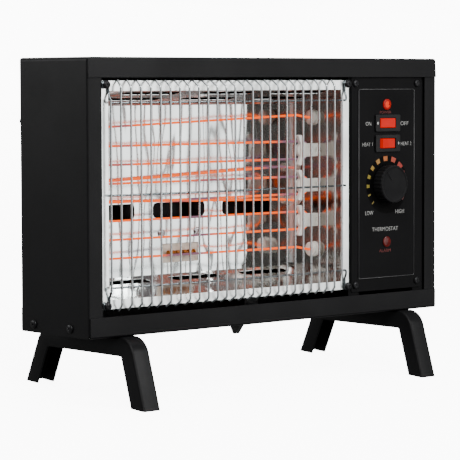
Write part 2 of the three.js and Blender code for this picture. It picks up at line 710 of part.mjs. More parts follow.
function footFace() {
  const front = FOOT_SLANT - LEAN;
  const rear = FOOT_SLANT + LEAN;
  const drop = CABINET_DEPTH;
  const top = -SEAT;
  const frontTip = [FOOT_FRONT_KNEE - drop * Math.tan(front), top - drop];
  const rearTip = [FOOT_REAR_KNEE + drop * Math.tan(rear), top - drop];
  const line = [frontTip, [FOOT_FRONT_KNEE, top], [FOOT_REAR_KNEE, top], rearTip];
  return bent(line, FOOT_BEND_RADIUS, BEND_STEPS);
}

function footSolid(centre) {
  const face = [...footFace()].reverse();
  const web = offset(face, FOOT_SHEET);
  const half = FOOT_WIDTH / 2;
  const inner = half - FOOT_SHEET;
  const whole = alongX(folded(face, FOOT_FLANGE), centre - half, centre + half);
  const hollow = alongX([...web, ...offset(face, FOOT_FLANGE + FOOT_SHEET / 2).reverse()],
    centre - inner, centre + inner);
  const [near, far, deep] = [-CABINET_DEPTH, 2 * CABINET_DEPTH, -CABINET_HEIGHT];
  const floor = alongX([[near, floorBelow(near)], [far, floorBelow(far)], [far, deep], [near, deep]],
    centre - FOOT_WIDTH, centre + FOOT_WIDTH);
  const screws = FOOT_SCREW_Y.map((y) => (
    rodZ(FOOT_SCREW.radius + SEAT, centre, y, -FOOT_SHEET - OVERRUN, OVERRUN)));
  return cut(whole, [hollow, floor, ...screws]);
}

function feet() {
  return [[-1, 'left'], [1, 'right']].flatMap(([side, word]) => [
    part(`foot_${word}`, footSolid(side * FOOT_CENTRE), 'caseBlack'),
    ...FOOT_SCREW_Y.map((y, i) => screw(`foot_screw_${word}_${i + 1}`, FOOT_SCREW,
      [side * FOOT_CENTRE, y, -FOOT_SHEET - 2 * SEAT], 'down')),
  ]);
}

// Reflector chamber

function chamberFace() {
  return [
    [CHAMBER_FACE, CHAMBER_FLANGE_TOP],
    [CHAMBER_FACE, CHAMBER_ROOF_FRONT],
    [CHAMBER_DEPTH, CHAMBER_ROOF_BACK],
    [CHAMBER_DEPTH, CHAMBER_FLOOR_BACK],
    [CHAMBER_FACE, CHAMBER_FLOOR_FRONT],
    [CHAMBER_FACE, CHAMBER_FLANGE_BOTTOM],
  ];
}

function reflectorTrough() {
  const trough = alongX(folded(chamberFace(), CHAMBER_SHEET), CHAMBER_LEFT + SEAT, CHAMBER_RIGHT - SEAT);
  const back = [CHAMBER_DEPTH - OVERRUN, CHAMBER_DEPTH + OVERRUN];
  const row = (slot, along) => slotRow(slot, CHAMBER_LEFT, CHAMBER_RIGHT, along, SLOT_CORNER);
  const wallSlots = row(WALL_SLOT, CHAMBER_FLOOR_BACK + WALL_SLOT_RISE)
    .map((outline) => alongY(outline, ...back));
  const floorSlots = row(FLOOR_SLOT, CHAMBER_DEPTH - FLOOR_SLOT_BACK_GAP)
    .map((outline) => alongZ(outline, CHAMBER_FLOOR_FRONT, CHAMBER_FLOOR_BACK));
  const roofSlots = Array.from({ length: ROOF_SLOT_ROWS }, (_, i) => (
    row(ROOF_SLOT, ROOF_SLOT_FRONT_GAP + ROOF_SLOT_ROW_PITCH * i)
  )).flat().map((outline) => alongZ(outline, CHAMBER_ROOF_BACK, CHAMBER_ROOF_FRONT + OVERRUN));
  const [half, rise] = [WINDOW_WIDTH / 2, WINDOW_HEIGHT / 2];
  const window = block(WINDOW_X - half, WINDOW_X + half, ...back, WINDOW_Z - rise, WINDOW_Z + rise);
  const screws = cutoutScrewPlaces().map((x) => (
    screwHoleY(CUTOUT_SCREW, x, CUTOUT_SCREW_Z, CHAMBER_DEPTH, CHAMBER_DEPTH)));
  const slots = [...wallSlots, ...floorSlots, ...roofSlots];
  return part('reflector_trough', cut(trough, [...slots, window, ...screws]), 'mirror');
}

function endPlate(wall, flange, side) {
  const face = [[wall + side * flange, CHAMBER_FACE], [wall, CHAMBER_FACE], [wall, CHAMBER_END_DEPTH]];
  const outline = folded(side > 0 ? face.reverse() : face, CHAMBER_SHEET);
  return alongZ(outline, CHAMBER_FLANGE_BOTTOM, CHAMBER_FLANGE_TOP);
}

function guardScrewHoles(x) {
  return [GUARD_SCREW_TOP, GUARD_SCREW_BOTTOM].map((z) => (
    screwHoleY(GUARD_SCREW, x, z, CHAMBER_FACE, CHAMBER_FACE)));
}

function bushingHole(bushing, plane, z) {
  return rodX(bushing.neck + SEAT, CHAMBER_RIGHT - OVERRUN, CHAMBER_RIGHT + OVERRUN, plane, z);
}

function reflectorEnds() {
  const left = endPlate(CHAMBER_LEFT, CHAMBER_LEFT_FLANGE, -1);
  const right = endPlate(CHAMBER_RIGHT, CHAMBER_RIGHT_FLANGE, 1);
  const bushings = [
    bushingHole(BUSHING, ELEMENT_PLANE, BUSHING_TOP_Z),
    bushingHole(BUSHING, ELEMENT_PLANE, BUSHING_BOTTOM_Z),
    bushingHole(BOOSTER_BUSHING, BOOSTER_PLANE, BOOSTER_BUSHING_TOP_Z),
    bushingHole(BOOSTER_BUSHING, BOOSTER_PLANE, BOOSTER_BUSHING_BOTTOM_Z),
  ];
  return [
    part('reflector_end_left', cut(left, guardScrewHoles(GUARD_SCREW_LEFT)), 'mirror'),
    part('reflector_end_right', cut(right, [...guardScrewHoles(GUARD_SCREW_RIGHT), ...bushings]), 'mirror'),
  ];
}

// Thermal cut-out

function cutoutScrewPlaces() {
  return [-1, 1].map((side) => WINDOW_X + side * CUTOUT_SCREW_SPACING / 2);
}

function thermalCutout() {
  const face = CHAMBER_DEPTH + CHAMBER_SHEET + SEAT;
  const half = WINDOW_WIDTH / 2 + MICA_MARGIN;
  const bottom = WINDOW_Z - WINDOW_HEIGHT / 2 - MICA_MARGIN;
  const sheet = block(WINDOW_X - half, WINDOW_X + half, face, face + MICA_SHEET, bottom, MICA_TOP);
  const holes = cutoutScrewPlaces().map((x) => screwHoleY(CUTOUT_SCREW, x, CUTOUT_SCREW_Z, face, face));
  const axis = face - SEAT - CUTOUT_COLLAR_RADIUS;
  const reach = CUTOUT_LENGTH / 2;
  const coil = rodX(CUTOUT_RADIUS, WINDOW_X - reach, WINDOW_X + reach, axis, WINDOW_Z);
  const collars = [-1, 1].map((side) => {
    const centre = WINDOW_X + side * (reach - CUTOUT_COLLAR_LENGTH / 2);
    const thick = CUTOUT_COLLAR_LENGTH / 2;
    return rodX(CUTOUT_COLLAR_RADIUS, centre - thick, centre + thick, axis, WINDOW_Z);
  });
  return [
    part('mica_plate', cut(sheet, holes), 'mica'),
    part('thermal_cutout', join([coil, ...collars]), 'copper'),
    ...cutoutScrewPlaces().map((x, i) => screw(`cutout_screw_${i + 1}`, CUTOUT_SCREW,
      [x, CHAMBER_DEPTH - SEAT, CUTOUT_SCREW_Z], 'front', 'steel')),
  ];
}

// Ceramics that carry the wire

function hornedOutline(root, out, z) {
  const upper = [
    [0, CERAMIC_BODY_HALF],
    [CERAMIC_NECK, CERAMIC_BODY_HALF],
    [CERAMIC_REACH - CERAMIC_HORN_WIDTH - SEAT, CERAMIC_HORN_HALF - CERAMIC_HORN_WIDTH],
    [CERAMIC_REACH - CERAMIC_HORN_WIDTH, CERAMIC_HORN_HALF],
    [CERAMIC_REACH, CERAMIC_HORN_HALF],
    [CERAMIC_REACH - CERAMIC_HOLLOW, CERAMIC_BODY_HALF - SEAT],
  ];
  const lower = upper.map(([u, v]) => [u, -v]).reverse();
  const line = bent([...upper, ...lower], CERAMIC_ROUNDING, 1);
  return line.map(([u, v]) => [root + out * u, z + v]);
}

function hornedCeramic(name, out, plane, z) {
  const root = out > 0 ? CHAMBER_LEFT + SEAT : CHAMBER_RIGHT - SEAT;
  const back = plane - ELEMENT_RADIUS - SEAT;
  const front = back - CERAMIC_THICKNESS;
  const plate = alongY(hornedOutline(root, out, z), front, back);
  const spoolX = root + out * SPOOL_REACH;
  const spool = rodY(SPOOL_RADIUS, spoolX, back - CERAMIC_THICKNESS / 2, plane + SPOOL_PROUD, z, ROUND);
  const [half, rise] = [CERAMIC_SLOT_WIDTH / 2, CERAMIC_SLOT_HEIGHT / 2];
  const slotX = root + out * CERAMIC_SLOT_REACH;
  const slot = block(slotX - half, slotX + half, front - OVERRUN, back + OVERRUN, z - rise, z + rise);
  return part(name, cut(plate.add(spool), [slot]), 'ceramic');
}

function bushing(name, size, plane, z) {
  const geometry = lathe([
    [0, -size.reach - SEAT],
    [size.neck, -size.reach - SEAT],
    [size.neck, 0],
    [size.radius, 0],
    [size.radius, size.length - size.crown],
    [size.radius - size.crown, size.length],
    [0, size.length],
  ], ROUND);
  const bore = rodY(ELEMENT_RADIUS + SEAT, 0, -size.reach - OVERRUN, size.length + OVERRUN, 0);
  const mesh = part(name, cut(solidOf(geometry), [bore]), 'ceramic');
  mesh.position.set(CHAMBER_RIGHT - SEAT, plane, z);
  mesh.rotation.set(0, 0, Math.PI / 2);
  return mesh;
}

function turnCentre(i) {
  return STRAND_TOP - STRAND_PITCH * (i + 1 / 2);
}

function ceramics() {
  const left = Array.from({ length: STRAND_TURNS }, (_, i) => (
    hornedCeramic(`insulator_left_${i + 1}`, 1, ELEMENT_PLANE, turnCentre(2 * i))));
  const right = Array.from({ length: STRAND_TURNS - 1 }, (_, i) => (
    hornedCeramic(`insulator_right_${i + 1}`, -1, ELEMENT_PLANE, turnCentre(2 * i + 1))));
  return [
    ...left,
    ...right,
    hornedCeramic('insulator_booster', 1, BOOSTER_PLANE, BOOSTER_CENTRE_Z),
    bushing('bushing_top', BUSHING, ELEMENT_PLANE, BUSHING_TOP_Z),
    bushing('bushing_bottom', BUSHING, ELEMENT_PLANE, BUSHING_BOTTOM_Z),
    bushing('booster_bushing_top', BOOSTER_BUSHING, BOOSTER_PLANE, BOOSTER_BUSHING_TOP_Z),
    bushing('booster_bushing_bottom', BOOSTER_BUSHING, BOOSTER_PLANE, BOOSTER_BUSHING_BOTTOM_Z),
  ];
}

// Heating wires

function turn(x, plane, z, out) {
  return Array.from({ length: BEND_STEPS + 1 }, (_, i) => {
    const angle = Math.PI / 2 + out * Math.PI * i / BEND_STEPS;
    return [x + STRAND_PITCH / 2 * Math.cos(angle), plane, z + STRAND_PITCH / 2 * Math.sin(angle)];
  });
}

function lead(size, plane, bushingZ, strandZ) {
  const wall = CHAMBER_RIGHT - SEAT;
  return [
    [wall + size.reach - SEAT, plane, bushingZ],
    [wall - size.length - LEAD_STUB, plane, bushingZ],
    [LEAD_X, plane, strandZ],
  ];
}

function elements() {
  const turns = Array.from({ length: 2 * STRAND_TURNS - 1 }, (_, i) => {
    const [x, out] = i % 2 === 0 ? [LEFT_SPOOL_X, 1] : [RIGHT_SPOOL_X, -1];
    return turn(x, ELEMENT_PLANE, turnCentre(i), out);
  });
  const main = [
    ...lead(BUSHING, ELEMENT_PLANE, BUSHING_TOP_Z, LEAD_TOP_Z),
    ...turns.flat(),
    ...lead(BUSHING, ELEMENT_PLANE, BUSHING_BOTTOM_Z, LEAD_BOTTOM_Z).reverse(),
  ];
  const booster = [
    ...lead(BOOSTER_BUSHING, BOOSTER_PLANE, BOOSTER_BUSHING_TOP_Z, BOOSTER_TOP_Z),
    ...turn(LEFT_SPOOL_X, BOOSTER_PLANE, BOOSTER_CENTRE_Z, 1),
    ...lead(BOOSTER_BUSHING, BOOSTER_PLANE, BOOSTER_BUSHING_BOTTOM_Z, BOOSTER_BOTTOM_Z).reverse(),
  ];
  return [
    part('main_element', wire(main, ELEMENT_RADIUS), 'element'),
    part('booster_element', wire(booster, ELEMENT_RADIUS), 'element'),
  ];
}

// Wire guard: upright wires on three bowed rails that hook round four screws

function guardFront(x) {
  const share = (x - WIRE_LEFT - WIRE_SPAN / 2) / (WIRE_SPAN / 2);
  return -GUARD_STANDOFF - GUARD_BOW * (1 - share * share);
}

function uprightWire(i) {
  const x = WIRE_LEFT + WIRE_PITCH * i;
  const front = guardFront(x);
  if (i === 0 || i === WIRE_COUNT - 1) {
    const past = RAIL_BEND / 2 + WIRE_RADIUS;
    return wire([[x, front, RAIL_BOTTOM_Z - past], [x, front, RAIL_TOP_Z + past]], WIRE_RADIUS);
  }
  return wire([
    [x, WIRE_LIE, WIRE_BOTTOM],
    [x, front, WIRE_BOTTOM + WIRE_KNEE],
    [x, front, WIRE_TOP - WIRE_KNEE],
    [x, WIRE_LIE, WIRE_TOP],
  ], WIRE_RADIUS);
}

function railBack(x) {
  return guardFront(x) + 2 * WIRE_RADIUS - GUARD_WELD;
}

function railRun(z) {
  const [first, last] = [RAIL_LEFT + RAIL_BEND, RAIL_RIGHT - RAIL_BEND];
  return Array.from({ length: RAIL_STEPS + 1 }, (_, i) => {
    const x = THREE.MathUtils.lerp(first, last, i / RAIL_STEPS);
    return [x, railBack(x), z];
  });
}

// The hook at one end: round the screw from its far side, then along its leg to the rail
function hook(screwX, screwZ, railZ, toRail) {
  const up = Math.sign(screwZ - railZ);
  const round = Array.from({ length: BEND_STEPS + 1 }, (_, i) => {
    const angle = HOOK_SWEEP * (1 - i / BEND_STEPS);
    return [
      screwX + toRail * HOOK_RADIUS * Math.cos(angle),
      WIRE_LIE,
      screwZ + up * HOOK_RADIUS * Math.sin(angle),
    ];
  });
  const x = screwX + toRail * HOOK_RADIUS;
  const leg = railBack(x);
  return [
    ...round,
    [x, WIRE_LIE, railZ + up * 2 * RAIL_BEND],
    [x, leg, railZ + up * RAIL_BEND / 2],
  ];
}

function hookedRail(railZ, screwZ) {
  const left = hook(GUARD_SCREW_LEFT, screwZ, railZ, 1);
  const right = hook(GUARD_SCREW_RIGHT, screwZ, railZ, -1);
  return wire([...left, ...railRun(railZ), ...right.reverse()], WIRE_RADIUS);
}

function middleRail() {
  const ends = [RAIL_LEFT, RAIL_RIGHT].map((x) => [
    [x, CHAMBER_FACE - SEAT, RAIL_MIDDLE_Z],
    [x, railBack(x), RAIL_MIDDLE_Z],
  ]);
  return wire([...ends[0], ...railRun(RAIL_MIDDLE_Z), ...ends[1].reverse()], WIRE_RADIUS);
}

function wireGuard() {
  const uprights = Array.from({ length: WIRE_COUNT }, (_, i) => uprightWire(i));
  const rails = [
    hookedRail(RAIL_TOP_Z, GUARD_SCREW_TOP),
    middleRail(),
    hookedRail(RAIL_BOTTOM_Z, GUARD_SCREW_BOTTOM),
  ];
  const head = WIRE_LIE - WIRE_RADIUS - SEAT;
  const places = [
    [GUARD_SCREW_LEFT, head, GUARD_SCREW_TOP],
    [GUARD_SCREW_RIGHT, head, GUARD_SCREW_TOP],
    [GUARD_SCREW_LEFT, head, GUARD_SCREW_BOTTOM],
    [GUARD_SCREW_RIGHT, head, GUARD_SCREW_BOTTOM],
  ];
  return [
    part('wire_guard', join([...rails, ...uprights]), 'chrome'),
    ...places.map((place, i) => screw(`guard_screw_${i + 1}`, GUARD_SCREW, place, 'front')),
  ];
}

// Control column

function controlScrewPlaces() {
  const left = PLATE_LEFT + CONTROL_SCREW_LEFT_INSET;
  const right = PLATE_RIGHT - CONTROL_SCREW_RIGHT_INSET;
  return [CONTROL_SCREW_TOP, CONTROL_SCREW_BOTTOM].flatMap((z) => [[left, z], [right, z]]);
}

function controlBox() {
  const face = [
    [BOX_RIGHT - BOX_FLANGE_RIGHT, BOX_FACE],
    [BOX_RIGHT, BOX_FACE],
    [BOX_RIGHT, BOX_DEPTH],
    [BOX_LEFT, BOX_DEPTH],
    [BOX_LEFT, BOX_FACE],
    [BOX_LEFT + BOX_FLANGE_LEFT, BOX_FACE],
  ];
  const roof = CABINET_HEIGHT - CASE_SHEET - SEAT;
  const holes = controlScrewPlaces().map(([x, z]) => screwHoleY(CONTROL_SCREW, x, z, BOX_FACE, BOX_FACE));
  return part('control_box', cut(alongZ(folded(face, BOX_SHEET), PAN_FLOOR, roof), holes), 'plateBlack');
}

function panelOutline(inset) {
  const [left, right] = [PANEL_LEFT + inset, PANEL_RIGHT - inset];
  return roundedBox(left, right, PANEL_BOTTOM + inset, PANEL_TOP - inset, PANEL_CORNER);
}

// A block centred on a control, with its half width and half height
function panelBlock(x, z, half, rise, y0, y1) {
  return block(x - half, x + half, y0, y1, z - rise, z + rise);
}

function panelPlate(x, z, half, rise, corner, y0, y1) {
  return alongY(roundedBox(x - half, x + half, z - rise, z + rise, corner), y0, y1);
}

function switchCutout(z) {
  const [half, rise] = [SWITCH_WIDTH / 2 + SEAT, SWITCH_HEIGHT / 2 + SEAT];
  return panelBlock(PANEL_X, z, half, rise, PANEL_FACE - OVERRUN, PLATE_FACE + OVERRUN);
}

function controlPlate() {
  const outline = roundedBox(PLATE_LEFT, PLATE_RIGHT, PLATE_BOTTOM, PLATE_TOP, PLATE_CORNER);
  const flat = alongY(outline, PLATE_FACE, PLATE_FACE + PLATE_SHEET);
  const raised = alongY(panelOutline(0), PANEL_FACE, PLATE_FACE + PLATE_SHEET);
  const hollow = alongY(panelOutline(PLATE_SHEET), PANEL_FACE + PLATE_SHEET, BOX_FACE + OVERRUN);
  const holes = [
    switchCutout(SWITCH_POWER_Z),
    switchCutout(SWITCH_HEAT_Z),
    rodY(THERMOSTAT_NECK + SEAT, DIAL_X, PANEL_FACE - OVERRUN, BOX_FACE, DIAL_Z, ROUND),
    ...[LAMP_POWER_Z, LAMP_ALARM_Z].map((z) => (
      rodY(LAMP_STEM_RADIUS + SEAT, LAMP_X, PANEL_FACE - OVERRUN, BOX_FACE, z, ROUND))),
    ...controlScrewPlaces().map(([x, z]) => screwHoleY(CONTROL_SCREW, x, z, PLATE_FACE, PLATE_FACE)),
  ];
  return part('control_plate', cut(flat.add(raised), [hollow, ...holes]), 'plateBlack');
}

function controlScrews() {
  return controlScrewPlaces().map(([x, z], i) => (
    screw(`control_screw_${i + 1}`, CONTROL_SCREW, [x, PLATE_FACE - SEAT, z], 'front')));
}

// Rocker switches: the rocker tips about an upright pin in the body

function switchBody(name, z) {
  const back = PANEL_FACE - SEAT;
  const front = back - BEZEL_RISE;
  const bezel = panelPlate(PANEL_X, z, BEZEL_WIDTH / 2, BEZEL_HEIGHT / 2, BEZEL_CORNER, front, back);
  const rear = back + SWITCH_DEPTH;
  const body = panelBlock(PANEL_X, z, SWITCH_WIDTH / 2, SWITCH_HEIGHT / 2, front + BEZEL_RISE / 2, rear);
  const pocketHalf = ROCKER_WIDTH / 2 + POCKET_MARGIN + SEAT;
  const pocketRise = ROCKER_HEIGHT / 2 + SEAT;
  const pocket = panelBlock(PANEL_X, z, pocketHalf, pocketRise, front - OVERRUN, front + POCKET_DEPTH);
  const pinReach = ROCKER_HEIGHT / 2 + ROCKER_PIN_REACH + SEAT;
  const pin = rodZ(ROCKER_PIN_RADIUS + SEAT, PANEL_X, back + ROCKER_PIVOT, z - pinReach, z + pinReach);
  const [thin, wide] = [TERMINAL_SHEET / 2, TERMINAL_WIDTH / 2];
  const terminals = [-1, 0, 1].map((place) => (
    panelBlock(PANEL_X + place * TERMINAL_PITCH, z, thin, wide, rear - SEAT, rear + TERMINAL_LENGTH)));
  return part(name, cut(join([bezel, body, ...terminals]), [pocket, pin]), 'switchBlack');
}

function rocker(name, z, tipped) {
  const half = ROCKER_WIDTH / 2;
  const valley = -ROCKER_PIVOT - BEZEL_RISE;
  const edge = valley - half * Math.tan(ROCKER_ANGLE);
  const heel = ROCKER_HEEL_WIDTH / 2;
  const outline = [
    [-half, edge],
    [0, valley],
    [half, edge],
    [half, -ROCKER_SIDE],
    [heel, ROCKER_HEEL],
    [-heel, ROCKER_HEEL],
    [-half, -ROCKER_SIDE],
  ];
  const rise = ROCKER_HEIGHT / 2;
  const pinReach = rise + ROCKER_PIN_REACH;
  const solid = alongZ(outline, -rise, rise).add(rodZ(ROCKER_PIN_RADIUS, 0, 0, -pinReach, pinReach));
  const mesh = part(name, solid, 'rockerRed');
  mesh.position.set(PANEL_X, PANEL_FACE - SEAT + ROCKER_PIVOT, z);
  mesh.rotation.set(0, 0, tipped * ROCKER_ANGLE);
  return mesh;
}

// Thermostat with its shaft and knob

function shaftSolid(clearance, y0, y1) {
  const radius = SHAFT_RADIUS + clearance;
  const flat = SHAFT_FLAT + clearance;
  const round = rodY(radius, 0, y0, y1, 0, ROUND);
  return cut(round, [block(-radius, radius, y0 - OVERRUN, y1 + OVERRUN, flat, radius + OVERRUN)]);
}

function thermostatBody() {
  const [half, rise] = [THERMOSTAT_WIDTH / 2, THERMOSTAT_HEIGHT / 2];
  const face = PANEL_FACE + PLATE_SHEET + SEAT;
  const body = panelPlate(DIAL_X, DIAL_Z, half, rise, THERMOSTAT_CORNER, face, face + THERMOSTAT_DEPTH);
  const neck = rodY(THERMOSTAT_NECK, DIAL_X, THERMOSTAT_NECK_FRONT, face + SEAT, DIAL_Z, ROUND);
  const [boreFront, boreBack] = [THERMOSTAT_NECK_FRONT - OVERRUN, THERMOSTAT_BORE + SEAT];
  const bore = rodY(SHAFT_RADIUS + SEAT, DIAL_X, boreFront, boreBack, DIAL_Z, ROUND);
  return part('thermostat_body', cut(body.add(neck), [bore]), 'steel');
}

function thermostatShaft() {
  const mesh = part('thermostat_shaft', shaftSolid(0, SHAFT_FRONT, THERMOSTAT_BORE), 'steel');
  mesh.position.set(DIAL_X, 0, DIAL_Z);
  mesh.rotation.set(0, -POINTER_ANGLE, 0);
  return mesh;
}

function ribbedOutline() {
  return Array.from({ length: 2 * KNOB_RIBS }, (_, i) => {
    const angle = Math.PI * i / KNOB_RIBS;
    const radius = KNOB_RADIUS - (i % 2) * KNOB_RIB_DEPTH;
    return [radius * Math.cos(angle), radius * Math.sin(angle)];
  });
}

function thermostatKnob() {
  const back = PANEL_FACE - KNOB_GAP;
  const front = back - KNOB_HEIGHT;
  const body = latheToFront([
    [0, 0],
    [KNOB_RADIUS + OVERRUN, 0],
    [KNOB_RADIUS + OVERRUN, KNOB_HEIGHT - KNOB_BEVEL - OVERRUN],
    [KNOB_RADIUS - KNOB_BEVEL, KNOB_HEIGHT],
    [KNOB_DISH_RADIUS, KNOB_HEIGHT],
    [KNOB_DISH_RADIUS - KNOB_DISH_DEPTH, KNOB_HEIGHT - KNOB_DISH_DEPTH],
    [0, KNOB_HEIGHT - KNOB_DISH_DEPTH],
  ], 0, back, 0, KNOB_RIBS).intersect(alongY(ribbedOutline(), front - OVERRUN, back + OVERRUN));
  const pocket = rodY(KNOB_POCKET_RADIUS, 0, back - KNOB_POCKET_DEPTH, back + OVERRUN, 0, ROUND);
  const bore = shaftSolid(SEAT, SHAFT_FRONT - SEAT, back + OVERRUN);
  const floor = front + KNOB_DISH_DEPTH;
  const wide = POINTER_WIDTH / 2;
  const [low, high] = [floor + KNOB_DISH_DEPTH, floor - POINTER_RISE];
  const pointer = block(POINTER_START, POINTER_END, high, low, -wide, wide);
  const mesh = part('thermostat_knob', cut(body.add(pointer), [pocket, bore]), 'knobBlack');
  mesh.position.set(DIAL_X, 0, DIAL_Z);
  mesh.rotation.set(0, -POINTER_ANGLE, 0);
  return mesh;
}

// Indicator lamps

function lamp(name, z, finish) {
  const rim = PANEL_FACE - SEAT;
  const solid = latheToFront([
    [0, -LAMP_STEM_LENGTH],
    [LAMP_STEM_RADIUS, -LAMP_STEM_LENGTH],
    [LAMP_STEM_RADIUS, 0],
    [LAMP_RADIUS, 0],
    [LAMP_RADIUS, LAMP_RIM],
    [LAMP_RADIUS * Math.cos(degrees(30)), LAMP_RIM + (LAMP_RISE - LAMP_RIM) * Math.sin(degrees(30))],
    [LAMP_RADIUS * Math.cos(degrees(60)), LAMP_RIM + (LAMP_RISE - LAMP_RIM) * Math.sin(degrees(60))],
    [0, LAMP_RISE],
  ], LAMP_X, rim, z);
  return part(name, solid, finish);
}

// Tip-over switch: a free plate on a pin, hanging plumb through a slot in the pan

function tipHousing() {
  const [half, wide] = [TIP_HOUSING_LENGTH / 2, TIP_HOUSING_WIDTH / 2];
  const [inner, gap] = [half - TIP_HOUSING_WALL, wide - TIP_HOUSING_WALL];
  const top = PAN_FLOOR + TIP_HOUSING_HEIGHT;
  const box = block(-wide, wide, TIP_Y - half, TIP_Y + half, PAN_FLOOR, top);
  const hollow = block(-gap, gap, TIP_Y - inner, TIP_Y + inner, PAN_FLOOR - OVERRUN, top - TIP_HOUSING_WALL);
  const pin = rodX(TIP_PIN_RADIUS + SEAT, -TIP_PIN_HALF - SEAT, TIP_PIN_HALF + SEAT, TIP_Y, TIP_PIVOT_Z);
  return part('tip_switch_housing', cut(box, [hollow, pin]), 'plastic');
}

function tipPendulum() {
  const nose = TIP_DROP - TIP_NOSE;
  const outline = [
    [-TIP_HALF, TIP_TOP],
    [-TIP_HALF, -TIP_SHOULDER],
    ...Array.from({ length: CORNER_STEPS + 2 }, (_, i) => {
      const angle = TIP_NOSE_START + TIP_NOSE_SWEEP * i / (CORNER_STEPS + 1);
      return [TIP_NOSE * Math.cos(angle), -nose + TIP_NOSE * Math.sin(angle)];
    }),
    [TIP_HALF, -TIP_SHOULDER],
    [TIP_HALF, TIP_TOP],
  ];
  const plate = alongX(outline, -TIP_PLATE / 2, TIP_PLATE / 2);
  const pin = rodX(TIP_PIN_RADIUS, -TIP_PIN_HALF, TIP_PIN_HALF, 0, 0);
  const mesh = part('tip_pendulum', plate.add(pin), 'plastic');
  mesh.position.set(0, TIP_Y, TIP_PIVOT_Z);
  mesh.rotation.set(LEAN, 0, 0);
  return mesh;
}

// Rear panel and the inlet for the cord

function backPanel() {
  const roof = CABINET_HEIGHT - CASE_SHEET - SEAT;
  const outline = roundedBox(-PAN_HALF, PAN_HALF, PAN_FLOOR, roof, CASE_TOP_RADIUS);
  const sheet = alongY(outline, BACK_FACE - BACK_SHEET, BACK_FACE);
  const rows = Array.from({ length: VENT_ROWS }, (_, row) => {
    const z = VENT_MARGIN + VENT_ROW_PITCH * row;
    const vents = slotRow(VENT, CHAMBER_LEFT, CHAMBER_RIGHT, z, VENT_CORNER, 1);
    if (row < VENT_ROWS - CONTROL_VENT_ROWS) return vents;
    return [...vents, ...slotRow(CONTROL_VENT, CHAMBER_RIGHT, STILE_EDGE, z, VENT_CORNER, 1)];
  });
  const through = [BACK_FACE - BACK_SHEET - OVERRUN, BACK_FACE + OVERRUN];
  const vents = rows.flat().map((outline) => alongY(outline, ...through));
  const inlet = rodY(INLET_RADIUS + SEAT, INLET_X, ...through, INLET_Z, ROUND);
  const screws = [-1, 1].map((side) => {
    const x = side * (HALF_WIDTH - REAR_FLANGE / 2);
    return screwHoleY(BACK_SCREW, x, BACK_SCREW_Z, BACK_FACE, BACK_FACE);
  });
  return part('back_panel', cut(sheet, [...vents, inlet, ...screws]), 'caseBlack');
}

function backScrews() {
  return [[-1, 'left'], [1, 'right']].map(([side, word]) => screw(`back_screw_${word}`, BACK_SCREW,
    [side * (HALF_WIDTH - REAR_FLANGE / 2), CABINET_DEPTH + SEAT, BACK_SCREW_Z], 'back'));
}

function cordInlet() {
  const sheet = BACK_SHEET + 2 * SEAT;
  const geometry = lathe([
    [0, -INLET_INNER],
    [INLET_FLANGE_RADIUS, -INLET_INNER],
    [INLET_FLANGE_RADIUS, -sheet],
    [INLET_RADIUS, -sheet],
    [INLET_RADIUS, 0],
    [INLET_FLANGE_RADIUS, 0],
    [INLET_FLANGE_RADIUS, INLET_FLANGE],
    [INLET_NOSE_RADIUS, INLET_FLANGE],
    [INLET_BORE + INLET_FLANGE, INLET_NOSE],
    [0, INLET_NOSE],
  ], ROUND);
  const bore = rodY(INLET_BORE, 0, -INLET_INNER - OVERRUN, INLET_NOSE + OVERRUN, 0, ROUND);
  const mesh = part('cord_inlet', cut(solidOf(geometry), [bore]), 'plastic');
  mesh.position.set(INLET_X, BACK_FACE + SEAT, INLET_Z);
  return mesh;
}

// The heater

const cabinet = new THREE.Group();
cabinet.name = 'cabinet';
cabinet.add(
  caseWrap(),
  basePan(),
  ...sideScrews(),
  ...feet(),
  reflectorTrough(),
  ...reflectorEnds(),
  ...thermalCutout(),
  ...ceramics(),
  ...elements(),
  ...wireGuard(),
  controlBox(),
  controlPlate(),
  ...controlScrews(),
  switchBody('power_switch_body', SWITCH_POWER_Z),
  rocker('power_rocker', SWITCH_POWER_Z, -1),
  switchBody('heat_switch_body', SWITCH_HEAT_Z),
  rocker('heat_rocker', SWITCH_HEAT_Z, 1),
  thermostatBody(),
  thermostatShaft(),
  thermostatKnob(),
  lamp('power_lamp', LAMP_POWER_Z, 'lampLit'),
  lamp('alarm_lamp', LAMP_ALARM_Z, 'lampDark'),
  tipHousing(),
  tipPendulum(),
  backPanel(),
  ...backScrews(),
  cordInlet(),
);

// Leaned back on its feet, with the middle of its footprint over the origin
cabinet.rotation.x = -LEAN;
cabinet.updateMatrixWorld(true);
const footprint = new THREE.Box3().setFromObject(cabinet, true);
const middle = footprint.getCenter(new THREE.Vector3());
cabinet.position.set(-middle.x, -middle.y, STAND_HEIGHT);

const heater = new THREE.Group();
heater.name = 'radiant_heater';
heater.add(cabinet);

export default heater;
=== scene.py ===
"""A portable radiant space heater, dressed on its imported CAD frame.

Sizes are millimetres in the cabinet's own upright frame: x to the right seen from the front, y to
the back, z up, origin at the middle of the front bottom edge. Lean turns them into the row frame,
where the cabinet leans back on its two feet, in metres.
"""

import json
import logging
import math
from dataclasses import dataclass, field, replace
from enum import Enum
from typing import Sequence

import bmesh
import bpy
import numpy as np
from mathutils import Matrix
from numpy.typing import ArrayLike, NDArray

